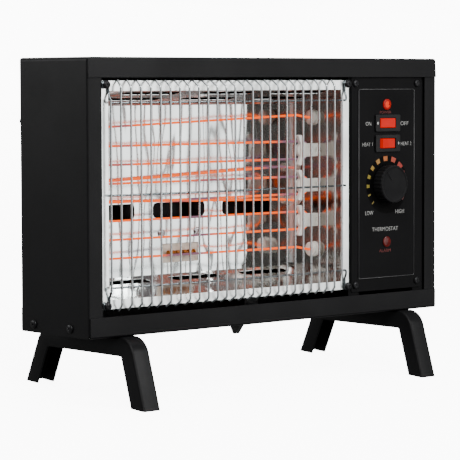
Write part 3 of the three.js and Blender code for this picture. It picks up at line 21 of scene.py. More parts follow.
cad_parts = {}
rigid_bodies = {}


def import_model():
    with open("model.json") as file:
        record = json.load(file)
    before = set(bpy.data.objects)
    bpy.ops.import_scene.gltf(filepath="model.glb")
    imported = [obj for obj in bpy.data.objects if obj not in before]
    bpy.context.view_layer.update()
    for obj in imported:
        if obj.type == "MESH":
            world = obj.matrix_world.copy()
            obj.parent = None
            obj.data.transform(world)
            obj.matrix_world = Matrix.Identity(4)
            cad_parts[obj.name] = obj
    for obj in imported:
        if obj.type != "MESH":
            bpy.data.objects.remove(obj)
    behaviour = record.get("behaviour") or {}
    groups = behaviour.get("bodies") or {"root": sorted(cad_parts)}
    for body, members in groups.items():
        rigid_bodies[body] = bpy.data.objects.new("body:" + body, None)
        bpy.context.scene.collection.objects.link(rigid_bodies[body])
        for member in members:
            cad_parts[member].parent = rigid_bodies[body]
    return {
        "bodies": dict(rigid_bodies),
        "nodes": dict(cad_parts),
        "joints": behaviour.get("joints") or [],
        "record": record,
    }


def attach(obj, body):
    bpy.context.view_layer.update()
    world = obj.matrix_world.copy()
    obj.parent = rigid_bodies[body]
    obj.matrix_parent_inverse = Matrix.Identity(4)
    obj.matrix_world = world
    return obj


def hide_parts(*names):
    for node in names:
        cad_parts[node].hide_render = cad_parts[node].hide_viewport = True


Array = NDArray[np.float64]
LOG = logging.getLogger("heater")
# One millimetre in metres.
MM = 0.001
# Points of a mesh that are nearer than this are merged, in metres.
MERGE = 2e-6
# Points of a line that are nearer than this are one point, in millimetres.
SAME = 1e-6
# Screws, bushings and feet stand clear of the sheet that carries them by this, in millimetres.
SEAT = 0.3
# Edges that turn by more than these many degrees are rounded, or stay sharp.
EDGE_TURN = 38.0
SHARP_TURN = 40.0
# Faces of the CAD's meshes that turn by less than this are one flat.
FLAT_TURN = 0.5
# The same two limits for pieces of moulded plastic, and for fine wires and lenses.
MOULD_TURN = 30.0
FINE_TURN = 60.0
# Nothing stays sharp on a piece with this value.
ALL_SMOOTH = 180.0


# The frame that the sizes are drawn in

@dataclass(frozen=True)
class Lean:
    """How the upright cabinet stands in the row frame."""

    angle: float = math.radians(3.75)
    back: float = -53.010439822
    rise: float = 64.4

    def matrix(self) -> Array:
        """The lean as a matrix that turns rows of the row frame back upright."""
        c, s = math.cos(self.angle), math.sin(self.angle)
        return np.array([[1, 0, 0], [0, c, s], [0, -s, c]])

    def turn(self, directions: ArrayLike) -> Array:
        """Turn directions into the row frame: y and z turn about x by the lean.

        Args:
            directions: vectors in the cabinet's frame, any shape that ends in 3.

        Returns:
            The same vectors in the row frame.
        """
        return np.asarray(directions, float) @ self.matrix().T

    def place(self, points: ArrayLike) -> Array:
        """Move points from the cabinet's millimetres to the row frame's metres.

        Args:
            points: places in the cabinet's frame, any shape that ends in 3.

        Returns:
            The same places in the row frame, in metres.
        """
        return (self.turn(points) + np.array([0, self.back, self.rise])) * MM

    def lift(self, points: ArrayLike) -> Array:
        """Move points from the row frame's metres back to the cabinet's millimetres.

        Args:
            points: places in the row frame, any shape that ends in 3.

        Returns:
            The same places in the cabinet's frame.
        """
        shifted = np.asarray(points, float) / MM - np.array([0, self.back, self.rise])
        return shifted @ self.matrix()

    def above_floor(self, points: Array) -> Array:
        """How far (y, z) points stand above the floor's plane, in millimetres."""
        y, z = points[..., 0], points[..., 1]
        return z * math.cos(self.angle) - y * math.sin(self.angle) + self.rise


LEAN = Lean()


class Facing(Enum):
    """Which way a turned or printed form looks: its across, its up and its outward direction."""

    FRONT = ((1, 0, 0), (0, 0, 1), (0, -1, 0))
    BACK = ((-1, 0, 0), (0, 0, 1), (0, 1, 0))
    LEFT = ((0, -1, 0), (0, 0, 1), (-1, 0, 0))
    RIGHT = ((0, 1, 0), (0, 0, 1), (1, 0, 0))
    DOWN = ((1, 0, 0), (0, -1, 0), (0, 0, -1))

    def at(self, place: Sequence[float], local: Array) -> Array:
        """Set local (across, up, out) points on a place.

        Args:
            place: where the form stands, in the cabinet's frame.
            local: points of the form, ending in 3.

        Returns:
            The points in the cabinet's frame.
        """
        return np.asarray(place, float) + local @ np.array(self.value, float)


# Lines, rings and grids

def once_round(count: int) -> Array:
    """Equal angles once round a circle."""
    return np.arange(count) * 2 * np.pi / count


def arc(centre: Sequence[float], depth: float, across: float, up: float, angle: Array) -> Array:
    """Draw an arc that faces the front: (x + across cos a, depth, z + up sin a) for every angle.

    Args:
        centre: its middle in (x, z).
        depth: its y.
        across: its reach in x.
        up: its reach in z.
        angle: the angles.

    Returns:
        (n, 3) points.
    """
    return np.stack([centre[0] + across * np.cos(angle), np.full_like(angle, depth),
                     centre[1] + up * np.sin(angle)], axis=1)


def rounded(points: ArrayLike, radius: float | Sequence[float], steps: int = 6,
            closed: bool = False) -> Array:
    """Round the corners of a line with true arcs.

    Each corner is cut by radius times the tangent of half its turn, at most to the middle of a leg,
    and is bridged by the rational quadratic curve that is a circle's arc.

    Args:
        points: the corners, in two or three dimensions.
        radius: one radius for all corners, or one for each that is rounded.
        steps: pieces in each arc.
        closed: whether the last point joins the first.

    Returns:
        The rounded line, with no point twice in a row.
    """
    line = np.asarray(points, float)
    count = len(line)
    corners = range(count) if closed else range(1, count - 1)
    radii = np.broadcast_to(np.asarray(radius, float), (len(corners),))
    t = np.linspace(0, 1, steps + 1)[:, None]
    run = [] if closed else [line[:1]]
    for corner, bend in zip(corners, radii):
        back = line[corner - 1] - line[corner]
        ahead = line[(corner + 1) % count] - line[corner]
        long_back, long_ahead = np.linalg.norm(back), np.linalg.norm(ahead)
        back, ahead = back / long_back, ahead / long_ahead
        half = math.acos(float(np.clip(-back @ ahead, -1, 1))) / 2
        cut = min(bend * math.tan(half), long_back / 2, long_ahead / 2)
        start, end = line[corner] + back * cut, line[corner] + ahead * cut
        pull = 2 * math.cos(half) * t * (1 - t)
        weight = (1 - t) ** 2 + pull + t ** 2
        run.append(((1 - t) ** 2 * start + pull * line[corner] + t ** 2 * end) / weight)
    if not closed:
        run.append(line[-1:])
    whole = np.concatenate(run)
    apart = np.linalg.norm(np.diff(whole, axis=0), axis=1) > SAME
    return whole[np.concatenate([[True], apart])]


def rounded_ring(corners: ArrayLike, radius: float | Sequence[float], steps: int) -> Array:
    """Round a closed profile and end it where it starts, to be turned."""
    ring = rounded(corners, radius, steps, closed=True)
    return np.concatenate([ring, ring[:1]])


def spaced(path: Array, step: float) -> Array:
    """Place points along a path at an even spacing.

    Args:
        path: the line, (n, 3).
        step: the spacing, in millimetres.

    Returns:
        Points at equal shares of the path's length, by linear interpolation.
    """
    lengths = np.concatenate([[0.0], np.cumsum(np.linalg.norm(np.diff(path, axis=0), axis=1))])
    at = np.linspace(0, lengths[-1], max(int(lengths[-1] / step), 2) + 1)
    return np.stack([np.interp(at, lengths, path[:, k]) for k in range(3)], axis=-1)


def tube(path: Array, radius: float | Array, sides: int, reference: Sequence[float]) -> Array:
    """Sweep a round section along a path, with both ends closed to a point.

    Ring i is path_i + r_i (cos a N_i + sin a B_i), where N is the tangent crossed with the
    reference direction and B is N crossed with the tangent.

    Args:
        path: the middle line, (n, 3).
        radius: one radius, or one for each point.
        sides: points round a ring.
        reference: a direction that the path never runs along.

    Returns:
        A grid of (n + 2, sides, 3) points.
    """
    along = np.gradient(path, axis=0)
    along /= np.linalg.norm(along, axis=1, keepdims=True)
    side = np.cross(along, np.asarray(reference, float))
    side /= np.linalg.norm(side, axis=1, keepdims=True)
    up = np.cross(side, along)
    angle = once_round(sides)
    spread = np.broadcast_to(np.asarray(radius, float), (len(path),))[:, None, None]
    ring = np.cos(angle)[None, :, None] * side[:, None] + np.sin(angle)[None, :, None] * up[:, None]
    body = path[:, None] + spread * ring
    ends = [np.repeat(path[k][None, None], sides, axis=1) for k in (0, -1)]
    return np.concatenate([ends[0], body, ends[1]])


def turned(profile: Array, sides: int) -> Array:
    """Turn a profile about the outward axis: (r cos a, r sin a, h) for every angle.

    Args:
        profile: (n, 2) pairs of radius and height.
        sides: points round a ring.

    Returns:
        A grid of (n, sides, 3) local points.
    """
    angle = once_round(sides)
    radius, height = profile[:, :1], profile[:, 1:2]
    flat = np.ones_like(angle)[None]
    return np.stack([radius * np.cos(angle), radius * np.sin(angle), height * flat], axis=-1)


def clean_mesh(name: str, points: Array, faces: list[list[int]], flats: bool) -> bpy.types.Mesh:
    """Make a smooth Blender mesh with its doubles merged.

    Args:
        name: the mesh's name.
        points: its points in metres, (n, 3).
        faces: the points' numbers round each face.
        flats: whether flats become one face; if not, its faces are turned outwards.

    Returns:
        The mesh.
    """
    made = bpy.data.meshes.new(name)
    made.from_pydata(points.tolist(), [], faces)
    shell = bmesh.new()
    shell.from_mesh(made)
    bmesh.ops.remove_doubles(shell, verts=shell.verts, dist=MERGE)
    if flats:
        bmesh.ops.dissolve_limit(shell, angle_limit=math.radians(FLAT_TURN), verts=shell.verts,
                                 edges=shell.edges)
    else:
        bmesh.ops.dissolve_degenerate(shell, edges=shell.edges, dist=MERGE / 2)
        bmesh.ops.recalc_face_normals(shell, faces=shell.faces)
    shell.to_mesh(made)
    shell.free()
    made.shade_smooth()
    return made


@dataclass
class Skin:
    """One mesh in the making, out of grids and single faces in the cabinet's frame."""

    points: list[Array] = field(default_factory=list)
    faces: list[list[int]] = field(default_factory=list)
    count: int = 0

    def grid(self, points: Array, around: bool = False) -> "Skin":
        """Add a grid of quads.

        Args:
            points: (n, m, 3) places.
            around: whether the last column joins the first.

        Returns:
            This skin.
        """
        rows, columns = points.shape[:2]
        index = self.count + np.arange(rows * columns).reshape(rows, columns)
        if around:
            index = np.concatenate([index, index[:, :1]], axis=1)
        quads = np.stack([index[:-1, :-1], index[1:, :-1], index[1:, 1:], index[:-1, 1:]], axis=-1)
        self.points.append(points.reshape(-1, 3))
        self.faces.extend(quads.reshape(-1, 4).tolist())
        self.count += rows * columns
        return self

    def rod(self, near: Array, far: Array) -> "Skin":
        """Add a closed bar between two equal rings of points.

        Args:
            near: one end's ring, (n, 3).
            far: the other end's ring, in the same order.

        Returns:
            This skin.
        """
        first, size = self.count, len(near)
        self.grid(np.stack([near, far]), around=True)
        self.faces.append(list(range(first, first + size)))
        self.faces.append(list(range(first + size, first + 2 * size)))
        return self

    def film(self, ring: Array, thick: float) -> "Skin":
        """Add a flat film: a ring, and the same ring nearer to the front by its thickness."""
        return self.rod(ring, ring - np.array([0, thick, 0]))

    def wire(self, path: Array, radius: float | Array, sides: int,
             reference: Sequence[float]) -> "Skin":
        """Add a tube, as the function tube sweeps it."""
        return self.grid(tube(path, radius, sides, reference), around=True)

    def stand(self, facing: Facing, place: Sequence[float], local: Array) -> "Skin":
        """Add a turned form that stands on a place and looks one way."""
        return self.grid(facing.at(place, local), around=True)

    def mesh(self, name: str, sharp: float = SHARP_TURN) -> bpy.types.Mesh:
        """Make the Blender mesh: doubles merged, faces outwards, smooth but for sharp edges.

        Args:
            name: the mesh's name.
            sharp: edges that turn by more than this many degrees stay sharp.

        Returns:
            The mesh, in the row frame.
        """
        made = clean_mesh(name, LEAN.place(np.concatenate(self.points)), self.faces, False)
        made.set_sharp_from_angle(angle=math.radians(sharp))
        return made


def places_of(mesh: bpy.types.Mesh) -> Array:
    """Read a mesh's points as (n, 3)."""
    flat = np.empty(len(mesh.vertices) * 3, np.float32)
    mesh.vertices.foreach_get("co", flat)
    return flat.reshape(-1, 3).astype(float)


def move_to(mesh: bpy.types.Mesh, points: Array) -> None:
    """Move a mesh's points to places in the cabinet's frame."""
    mesh.vertices.foreach_set("co", LEAN.place(points).astype(np.float32).ravel())
    mesh.update()


def put(name: str, data: bpy.types.ID) -> bpy.types.Object:
    """Make an object of a mesh, a curve, a lamp or a camera, and link it to the scene."""
    made = bpy.data.objects.new(name, data)
    bpy.context.scene.collection.objects.link(made)
    return made


def aim(piece: bpy.types.Object, axes: Array, place: Sequence[float]) -> None:
    """Turn an object to its right, up and back axes, and set it on a place in metres."""
    stand = Matrix(axes.T.tolist()).to_4x4()
    stand.translation = place
    piece.matrix_world = stand


# Finishes

def linear(code: str) -> tuple[float, float, float, float]:
    """Turn an sRGB hex code into Blender's linear colour.

    Args:
        code: six hex digits.

    Returns:
        Red, green, blue and an alpha of one.
    """
    parts = [int(code[k:k + 2], 16) / 255 for k in (0, 2, 4)]
    low, high = [c / 12.92 for c in parts], [((c + 0.055) / 1.055) ** 2.4 for c in parts]
    red, green, blue = [a if c <= 0.04045 else b for c, a, b in zip(parts, low, high)]
    return red, green, blue, 1.0


def feed(tree: bpy.types.NodeTree, node: bpy.types.Node, inputs: dict) -> None:
    """Set a node's sockets.

    Args:
        tree: the node tree.
        node: the node.
        inputs: values for its sockets, or sockets to link to them.
    """
    for name, value in inputs.items():
        if isinstance(value, bpy.types.NodeSocket):
            tree.links.new(value, node.inputs[name])
        else:
            node.inputs[name].default_value = value


def add_node(tree: bpy.types.NodeTree, kind: str, settings: dict | None = None,
             inputs: dict | None = None) -> bpy.types.Node:
    """Add a node with its settings and its links.

    Args:
        tree: the node tree.
        kind: the node's Blender type.
        settings: properties of the node.
        inputs: values for its sockets, or sockets to link to them.

    Returns:
        The new node.
    """
    made = tree.nodes.new(kind)
    for name, value in (settings or {}).items():
        setattr(made, name, value)
    feed(tree, made, inputs or {})
    return made


class Pattern(Enum):
    """What stands up from a surface, as a texture node, its settings, its inputs and its output."""

    POWDER = ("ShaderNodeTexNoise", {}, {"Detail": 2.0, "Roughness": 0.5}, "Fac")
    ROLLED = ("ShaderNodeTexNoise", {}, {"Detail": 0.5, "Roughness": 0.35, "Distortion": 0.5},
              "Fac")
    DRAWN = ("ShaderNodeTexNoise", {}, {"Detail": 5.0, "Roughness": 0.7}, "Fac")
    MOULDED = ("ShaderNodeTexNoise", {}, {"Detail": 6.0, "Roughness": 0.75}, "Fac")
    FLAKED = ("ShaderNodeTexVoronoi", {"feature": "F1"}, {"Randomness": 1.0}, "Distance")
    FIRED = ("ShaderNodeTexVoronoi", {"feature": "SMOOTH_F1"}, {"Randomness": 1.0}, "Distance")

    def height(self, tree: bpy.types.NodeTree, vector: bpy.types.NodeSocket,
               scale: float) -> bpy.types.NodeSocket:
        """Add this pattern's texture.

        Args:
            tree: the material's node tree.
            vector: where the pattern is read.
            scale: features in a metre.

        Returns:
            The socket of its height.
        """
        kind, settings, inputs, output = self.value
        made = add_node(tree, kind, settings, {**inputs, "Vector": vector, "Scale": scale})
        return made.outputs[output]


# A noise texture seldom leaves this range, so it is stretched from here to 0 and 1.
NOISE_RANGE = {"From Min": 0.3, "From Max": 0.7}
# The noise at which a glow starts to fade, and at which it has faded.
GLOW_MOTTLE_RANGE = {"From Min": 0.54, "From Max": 0.62}
# The smoothest that a surface gets where its roughness wanders.
LEAST_ROUGHNESS = 0.01


@dataclass(frozen=True)
class Finish:
    """One real surface: a material, how it was made, and how it looks.

    The colour wanders between colour and shade over drift_mm, the roughness by spread with it,
    and the pattern stands bump_mm high with features of grain_mm, drawn out by stretch. Fine lines
    from 0 to 1 smear what it mirrors up and down. A glow mixes with a second glow colour,
    glow_cool, in stretches of glow_mm.
    """

    name: str
    colour: str
    shade: str
    roughness: float
    spread: float
    grain_mm: float
    bump_mm: float
    drift_mm: float
    pattern: Pattern
    metallic: float = 0.0
    ior: float = 1.5
    coat: float = 0.0
    coat_roughness: float = 0.1
    glow: str = ""
    glow_strength: float = 0.0
    glow_cool: str = ""
    glow_mm: float = 100.0
    lines: float = 0.0
    stretch: tuple[float, float, float] = (1.0, 1.0, 1.0)

    def material(self) -> bpy.types.Material:
        """Find or build the Blender material.

        Returns:
            The material.
        """
        found = bpy.data.materials.get(self.name)
        if found:
            return found
        made = bpy.data.materials.new(self.name)
        made.use_nodes = True
        tree = made.node_tree
        shader = tree.nodes["Principled BSDF"]
        where = add_node(tree, "ShaderNodeTexCoord").outputs["Object"]
        vector = add_node(tree, "ShaderNodeMapping", None, {
            "Vector": where, "Scale": self.stretch}).outputs[0]
        drift = add_node(tree, "ShaderNodeTexNoise", None, {
            "Vector": vector, "Scale": 1 / (self.drift_mm * MM), "Detail": 3.0}).outputs["Fac"]
        sharper = add_node(tree, "ShaderNodeMapRange", None, {
            "Value": drift, **NOISE_RANGE}).outputs["Result"]
        mix = add_node(tree, "ShaderNodeMix", {"data_type": "RGBA"}, {
            0: sharper, 6: linear(self.colour), 7: linear(self.shade)}).outputs[2]
        rough = add_node(tree, "ShaderNodeMapRange", None, {
            "Value": drift, **NOISE_RANGE,
            "To Min": max(self.roughness - self.spread, LEAST_ROUGHNESS),
            "To Max": self.roughness + self.spread}).outputs["Result"]
        tall = self.pattern.height(tree, vector, 1 / (self.grain_mm * MM))
        bump = add_node(tree, "ShaderNodeBump", None, {
            "Strength": 1.0, "Distance": self.bump_mm * MM, "Height": tall}).outputs["Normal"]
        feed(tree, shader, {
            "Base Color": mix, "Roughness": rough, "Normal": bump, "Metallic": self.metallic,
            "IOR": self.ior, "Coat Weight": self.coat, "Coat Roughness": self.coat_roughness})
        if self.lines:
            way = add_node(tree, "ShaderNodeCombineXYZ", None, {"Z": 1.0}).outputs[0]
            feed(tree, shader, {"Anisotropic": self.lines, "Tangent": way})
        if self.glow:
            feed(tree, shader, {
                "Emission Color": linear(self.glow), "Emission Strength": self.glow_strength})
        # A second glow colour in stretches: on the hot wire its violet-grey is painted light.
        if self.glow_cool:
            mottle_noise = add_node(tree, "ShaderNodeTexNoise", None, {
                "Vector": where, "Scale": 1 / (self.glow_mm * MM), "Detail": 1.0}).outputs["Fac"]
            share = add_node(tree, "ShaderNodeMapRange", None, {
                "Value": mottle_noise, **GLOW_MOTTLE_RANGE}).outputs["Result"]
            heat = add_node(tree, "ShaderNodeMix", {"data_type": "RGBA"}, {
                0: share, 6: linear(self.glow), 7: linear(self.glow_cool)}).outputs[2]
            feed(tree, shader, {"Emission Color": heat})
        return made


# Sheet steel with a baked polyester powder: satin black with a fine orange peel.
POWDER_COAT = Finish("black_powder_coated_steel", "121213", "0e0e0f", 0.42, 0.05, 1.6, 0.035, 60,
                     Pattern.POWDER, ior=1.21)
# The control plate is sprayed flatter and smoother than the case, so it mirrors less.
SATIN_PAINT = Finish("satin_black_sprayed_steel", "0b0b0c", "09090a", 0.62, 0.05, 0.9, 0.015, 50,
                     Pattern.POWDER, ior=1.18)
# Thin bright aluminium, polished but never flat: it mirrors the wires in long upright waves, and
# the fine lines of its rolling, which run sideways, smear the glowing strands up and down.
MIRROR_SHEET = Finish("polished_rolled_aluminium", "dfe4e3", "b6bcbb", 0.09, 0.02, 46, 2.1, 40,
                      Pattern.ROLLED, metallic=1.0, lines=0.9, stretch=(1.0, 1.0, 0.4))
# The same sheet where it is folded to the front: handled and scuffed, so it only glares softly.
MIRROR_RIM = Finish("scuffed_rolled_aluminium", "f4f8f6", "e8ecea", 0.3, 0.06, 9, 0.12, 30,
                    Pattern.ROLLED, metallic=1.0)
# The ends are the same sheet in a darker grey, painted shade for the dim reflections that they
# show, and their lines run to the back.
MIRROR_END_SHADED = Finish("rolled_aluminium_painted_shade", "b0aaa6", "8a847e", 0.13, 0.03, 60, 1.6, 30,
                    Pattern.ROLLED, metallic=1.0, lines=0.9, stretch=(1.0, 1.0, 0.18))
# Chromium plate over drawn steel wire: near white with faint lines of the die.
CHROME_WIRE = Finish("chromed_drawn_wire", "e2e6e7", "cdd2d4", 0.27, 0.06, 1.2, 0.01, 30,
                     Pattern.DRAWN, metallic=1.0)
# The rails and their hooks are the same chromed wire as the uprights, painted a darker grey:
# painted shade, since they lie behind the uprights.
CHROME_RAIL_SHADED = Finish("chromed_wire_painted_shade", "7e8689", "686f72", 0.2, 0.05, 1.2, 0.01, 30,
                     Pattern.DRAWN, metallic=1.0)
# Unglazed steatite: pressed and fired, chalky ivory with a soft speckle.
STEATITE = Finish("fired_steatite", "f8f6f0", "eae6da", 0.42, 0.08, 1.4, 0.03, 9,
                  Pattern.FIRED, ior=1.6)
# Nickel-chrome resistance wire at work: glowing orange red, mixed in long stretches with a dull
# violet-grey glow, which is painted light where the wire shines without being hot.
HOT_WIRE = Finish("glowing_nichrome_coil", "3a1c14", "2c1610", 0.7, 0.1, 0.8, 0.02, 25,
                  Pattern.DRAWN, ior=1.3, glow="ff5c00", glow_strength=1.75,
                  glow_cool="6a4c5c", glow_mm=90)
# The rockers are tinted polycarbonate with a lamp inside, so they shine a little of themselves.
ROCKER_RED = Finish("lit_red_polycarbonate", "90100a", "7c0c06", 0.4, 0.05, 1.0, 0.01, 12,
                    Pattern.MOULDED, ior=1.2, glow="ff1800", glow_strength=0.5)
# Switch frames of black nylon, semi-gloss from the tool.
SWITCH_NYLON = Finish("moulded_black_nylon", "111112", "0d0d0e", 0.45, 0.06, 0.7, 0.02, 15,
                      Pattern.MOULDED, ior=1.3)
# The knob is black phenolic: satin with a soft grain.
KNOB_PHENOLIC = Finish("moulded_black_phenolic", "161617", "111112", 0.5, 0.06, 0.8, 0.02, 14,
                       Pattern.MOULDED, ior=1.18)
# Thermostat, shaft and cut-out screws in zinc-plated steel: pale grey, slightly clouded.
ZINC_PLATE = Finish("zinc_plated_steel", "c3c6c8", "a6aaae", 0.3, 0.1, 2.0, 0.01, 8,
                    Pattern.DRAWN, metallic=1.0)
# Screws in black oxide: dark, faintly blue, oily sheen.
BLACK_OXIDE = Finish("black_oxide_steel", "1c1c1e", "131315", 0.32, 0.08, 0.9, 0.015, 4,
                     Pattern.MOULDED, metallic=0.55)
# Mica is split rock: beige, with flakes that overlap and glint.
MICA = Finish("split_mica", "d2c9ba", "b3a692", 0.4, 0.12, 3.5, 0.12, 5, Pattern.FLAKED,
              ior=1.58, coat=0.3)
# Copper wire of the cut-out, browned by the heat.
COPPER = Finish("heat_browned_copper", "c98a48", "9a5c2c", 0.35, 0.1, 1.0, 0.01, 4,
                Pattern.DRAWN, metallic=1.0)
# The upper lamp is a red acrylic lens that is lit: orange in the middle, with darker flecks.
LENS_LIT = Finish("lit_red_acrylic_lens", "7c0c06", "6c0a04", 0.3, 0.03, 1.5, 0.03, 3,
                  Pattern.FIRED, ior=1.18, glow="ff4208", glow_strength=1.0,
                  glow_cool="8c0802", glow_mm=4)
# Towards its rim the lit lens is thick and dark.
LENS_RIM = Finish("lit_lens_rim", "7c0c06", "6c0a04", 0.3, 0.03, 1.5, 0.03, 3, Pattern.FIRED,
                  ior=1.25, glow="b01004", glow_strength=0.5)
# The lower lamp is the same lens, not lit.
LENS_DARK = Finish("dark_red_acrylic_lens", "5c120e", "400a08", 0.12, 0.03, 1.5, 0.03, 3,
                   Pattern.FIRED, ior=1.34)
# Tip paddle, its housing and the cord's inlet in black polypropylene, matt from spark erosion.
MOULDED_BLACK = Finish("moulded_black_polypropylene", "1e1e1f", "171718", 0.55, 0.06, 0.6, 0.03,
                       18, Pattern.MOULDED)
# Pad-printed inks: a thin even film, with the dial's colours from yellow to red.
WHITE_INK = Finish("pad_printed_white", "a8a8a5", "969693", 0.5, 0.05, 0.4, 0.005, 3,
                   Pattern.POWDER)
RED_INK = Finish("pad_printed_dark_red", "75201b", "641a16", 0.5, 0.05, 0.4, 0.005, 3,
                 Pattern.POWDER)
# The black disc round the knob is partly a printed dial face and partly the knob's painted shadow.
BLACK_INK_AND_SHADOW = Finish("printed_black_and_painted_shadow", "070707", "050505", 0.6, 0.05, 0.4, 0.005, 8,
                   Pattern.POWDER, ior=1.12)
# A lighter, glossier paint laid along the pressed-up panel's edge: a painted highlight where its
# sloping sides catch the light.
HIGHLIGHT_EDGE_PAINT = Finish("panel_edge_painted_highlight", "545455", "404041", 0.3, 0.05, 0.9, 0.01, 40,
                     Pattern.POWDER, ior=1.5)


# Placing pieces

@dataclass
class Kit:
    """The loaded frame, and the ways in which pieces join it."""

    frame: dict

    def add(self, name: str, form: Skin | bpy.types.Mesh, finish: Finish, slot: str,
            nodes: Sequence[str] = (), body: str = "cabinet",
            sharp: float = SHARP_TURN) -> bpy.types.Object:
        """Make a piece that rides on a body.

        Args:
            name: the piece's name.
            form: its skin, or its mesh in the row frame.
            finish: its surface.
            slot: the record's slot for it; not used.
            nodes: CAD nodes that it stands for.
            body: the CAD body that it moves with.
            sharp: a skin's edges that turn by more than this many degrees stay sharp.

        Returns:
            The piece.
        """
        mesh = form.mesh(name, sharp) if isinstance(form, Skin) else form
        piece = put(name, mesh)
        mesh.materials.clear()
        mesh.materials.append(finish.material())
        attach(piece, body)
        if nodes:
            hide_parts(*nodes)
        LOG.info("%s: %d faces", name, len(mesh.polygons))
        return piece

    def dress(self, node: str, finish: Finish) -> None:
        """Give a kept CAD node its finish.

        Args:
            node: the node's name.
            finish: its surface.
        """
        mesh = self.frame["nodes"][node].data
        if not mesh.materials:
            mesh.materials.append(finish.material())
        for k in range(len(mesh.materials)):
            mesh.materials[k] = finish.material()
        LOG.info("%s: kept from the frame", node)

    def copy(self, node: str) -> bpy.types.Mesh:
        """Copy a CAD node's mesh with its doubles merged and its flats made one face each.

        Args:
            node: the node's name.

        Returns:
            A new mesh, in the row frame.
        """
        source = self.frame["nodes"][node].data
        corners = np.empty(len(source.loops), np.int32)
        source.loops.foreach_get("vertex_index", corners)
        return clean_mesh(f"{node}_edged", places_of(source), corners.reshape(-1, 3).tolist(), True)

    def edged(self, node: str, finish: Finish, slot: str, width: float, body: str = "cabinet",
              segments: int = 2) -> bpy.types.Object:
        """Replace a CAD node by a copy whose edges are rounded, as sheet and castings are.

        Args:
            node: the node's name.
            finish: its surface.
            slot: the record's slot for it.
            width: the rounding's width in millimetres.
            body: the CAD body that it moves with.
            segments: faces across the rounding.

        Returns:
            The piece.
        """
        piece = self.add(f"{node}_edged", self.copy(node), finish, slot, [node], body)
        return soften(piece, width, EDGE_TURN, segments)


def soften(piece: bpy.types.Object, width: float, angle: float,
           segments: int) -> bpy.types.Object:
    """Round a piece's edges with live modifiers and keep its flats flat.

    Args:
        piece: the piece.
        width: the rounding's width in millimetres.
        angle: edges that turn by more than this many degrees are rounded.
        segments: faces across the rounding.

    Returns:
        The same piece.
    """
    bevel = piece.modifiers.new("rounded_edges", "BEVEL")
    bevel.width = width * MM
    bevel.segments = segments
    bevel.limit_method = "ANGLE"
    bevel.angle_limit = math.radians(angle)
    bevel.use_clamp_overlap = False
    flats = piece.modifiers.new("flat_faces", "WEIGHTED_NORMAL")
    flats.keep_sharp = True
    return piece


# Screws

@dataclass(frozen=True)
class Screw:
    """A cross-recessed screw with a domed head, all lengths from under its head.

    The head's grid is fine up to the first of its shares of the radius and coarse from the second.
    """

    shank: float
    reach: float
    head: float
    height: float
    brim: float = 0.25
    dome: tuple[float, float] = (3.4, 2.6)
    recess_long: float = 2.0
    recess_wide: float = 0.45
    recess_deep: float = 1.0
    recess_wall: float = 0.25
    recess_rise: float = 0.35
    shares: tuple[float, float] = (0.62, 0.68)
    sides: int = 64
    sharp: float = 50

    def grid(self, turn: float) -> Array:
        """Work out the head and shank as one closed grid.

        Over its brim the head stands h (1 - (r/R)^a)^(1/b) high, with the dome's a and b. The
        recess sinks it where the distance to a cross of two bars is negative, over a steep wall,
        and is shallower towards its arms' ends.

        Args:
            turn: how far the recess is turned, in degrees.

        Returns:
            A grid of local points.
        """
        share = np.concatenate([np.linspace(0, self.shares[0], 16),
                                np.linspace(self.shares[1], 1, 9)])
        angle = once_round(self.sides)
        radius = (self.head * share)[:, None]
        across, up = radius * np.cos(angle), radius * np.sin(angle)
        twist = math.radians(turn)
        u = np.abs(across * math.cos(twist) + up * math.sin(twist))
        v = np.abs(up * math.cos(twist) - across * math.sin(twist))
        one = np.maximum(u - self.recess_long, v - self.recess_wide)
        two = np.maximum(v - self.recess_long, u - self.recess_wide)
        sunk = np.clip(-np.minimum(one, two) / self.recess_wall, 0, 1) * self.recess_deep
        full, flat = self.dome
        dome = self.brim + (self.height - self.brim) * (1 - share ** full) ** (1 / flat)
        high = dome[:, None] - sunk * (1 - self.recess_rise * radius / self.recess_long)
        top = np.stack([across, up, high], axis=-1)
        under = turned(np.array([[self.head, 0.0], [self.shank, 0.0], [self.shank, -self.reach],
                                 [0.0, -self.reach]]), self.sides)
        return np.concatenate([top, under])

    def fit(self, kit: Kit, node: str, place: Sequence[float], facing: Facing, turn: float,
            finish: Finish = BLACK_OXIDE, slot: str = "screw_black") -> None:
        """Set the screw in place of its CAD node.

        Args:
            kit: the frame.
            node: the CAD node that it stands for.
            place: the underside of its head.
            facing: which way the head looks.
            turn: the recess's turn in degrees.
            finish: its surface.
            slot: the record's slot for it.
        """
        skin = Skin().stand(facing, place, self.grid(turn))
        kit.add(f"{node}_turned", skin, finish, slot, [node], sharp=self.sharp)

    def fit_all(self, kit: Kit, stem: str, places: Sequence[Sequence[float]], facing: Facing,
                turns: tuple[float, float], finish: Finish = BLACK_OXIDE,
                slot: str = "screw_black") -> None:
        """Set one screw in place of each numbered CAD node.

        Args:
            kit: the frame.
            stem: the nodes' name, before the number.
            places: the undersides of their heads.
            facing: which way the heads look.
            turns: the first recess's turn in degrees, and what each next one adds to it.
            finish: their surface.
            slot: the record's slot for them.
        """
        for i, place in enumerate(places):
            self.fit(kit, f"{stem}_{i + 1}", place, facing, turns[0] + turns[1] * i, finish, slot)


# Cabinet

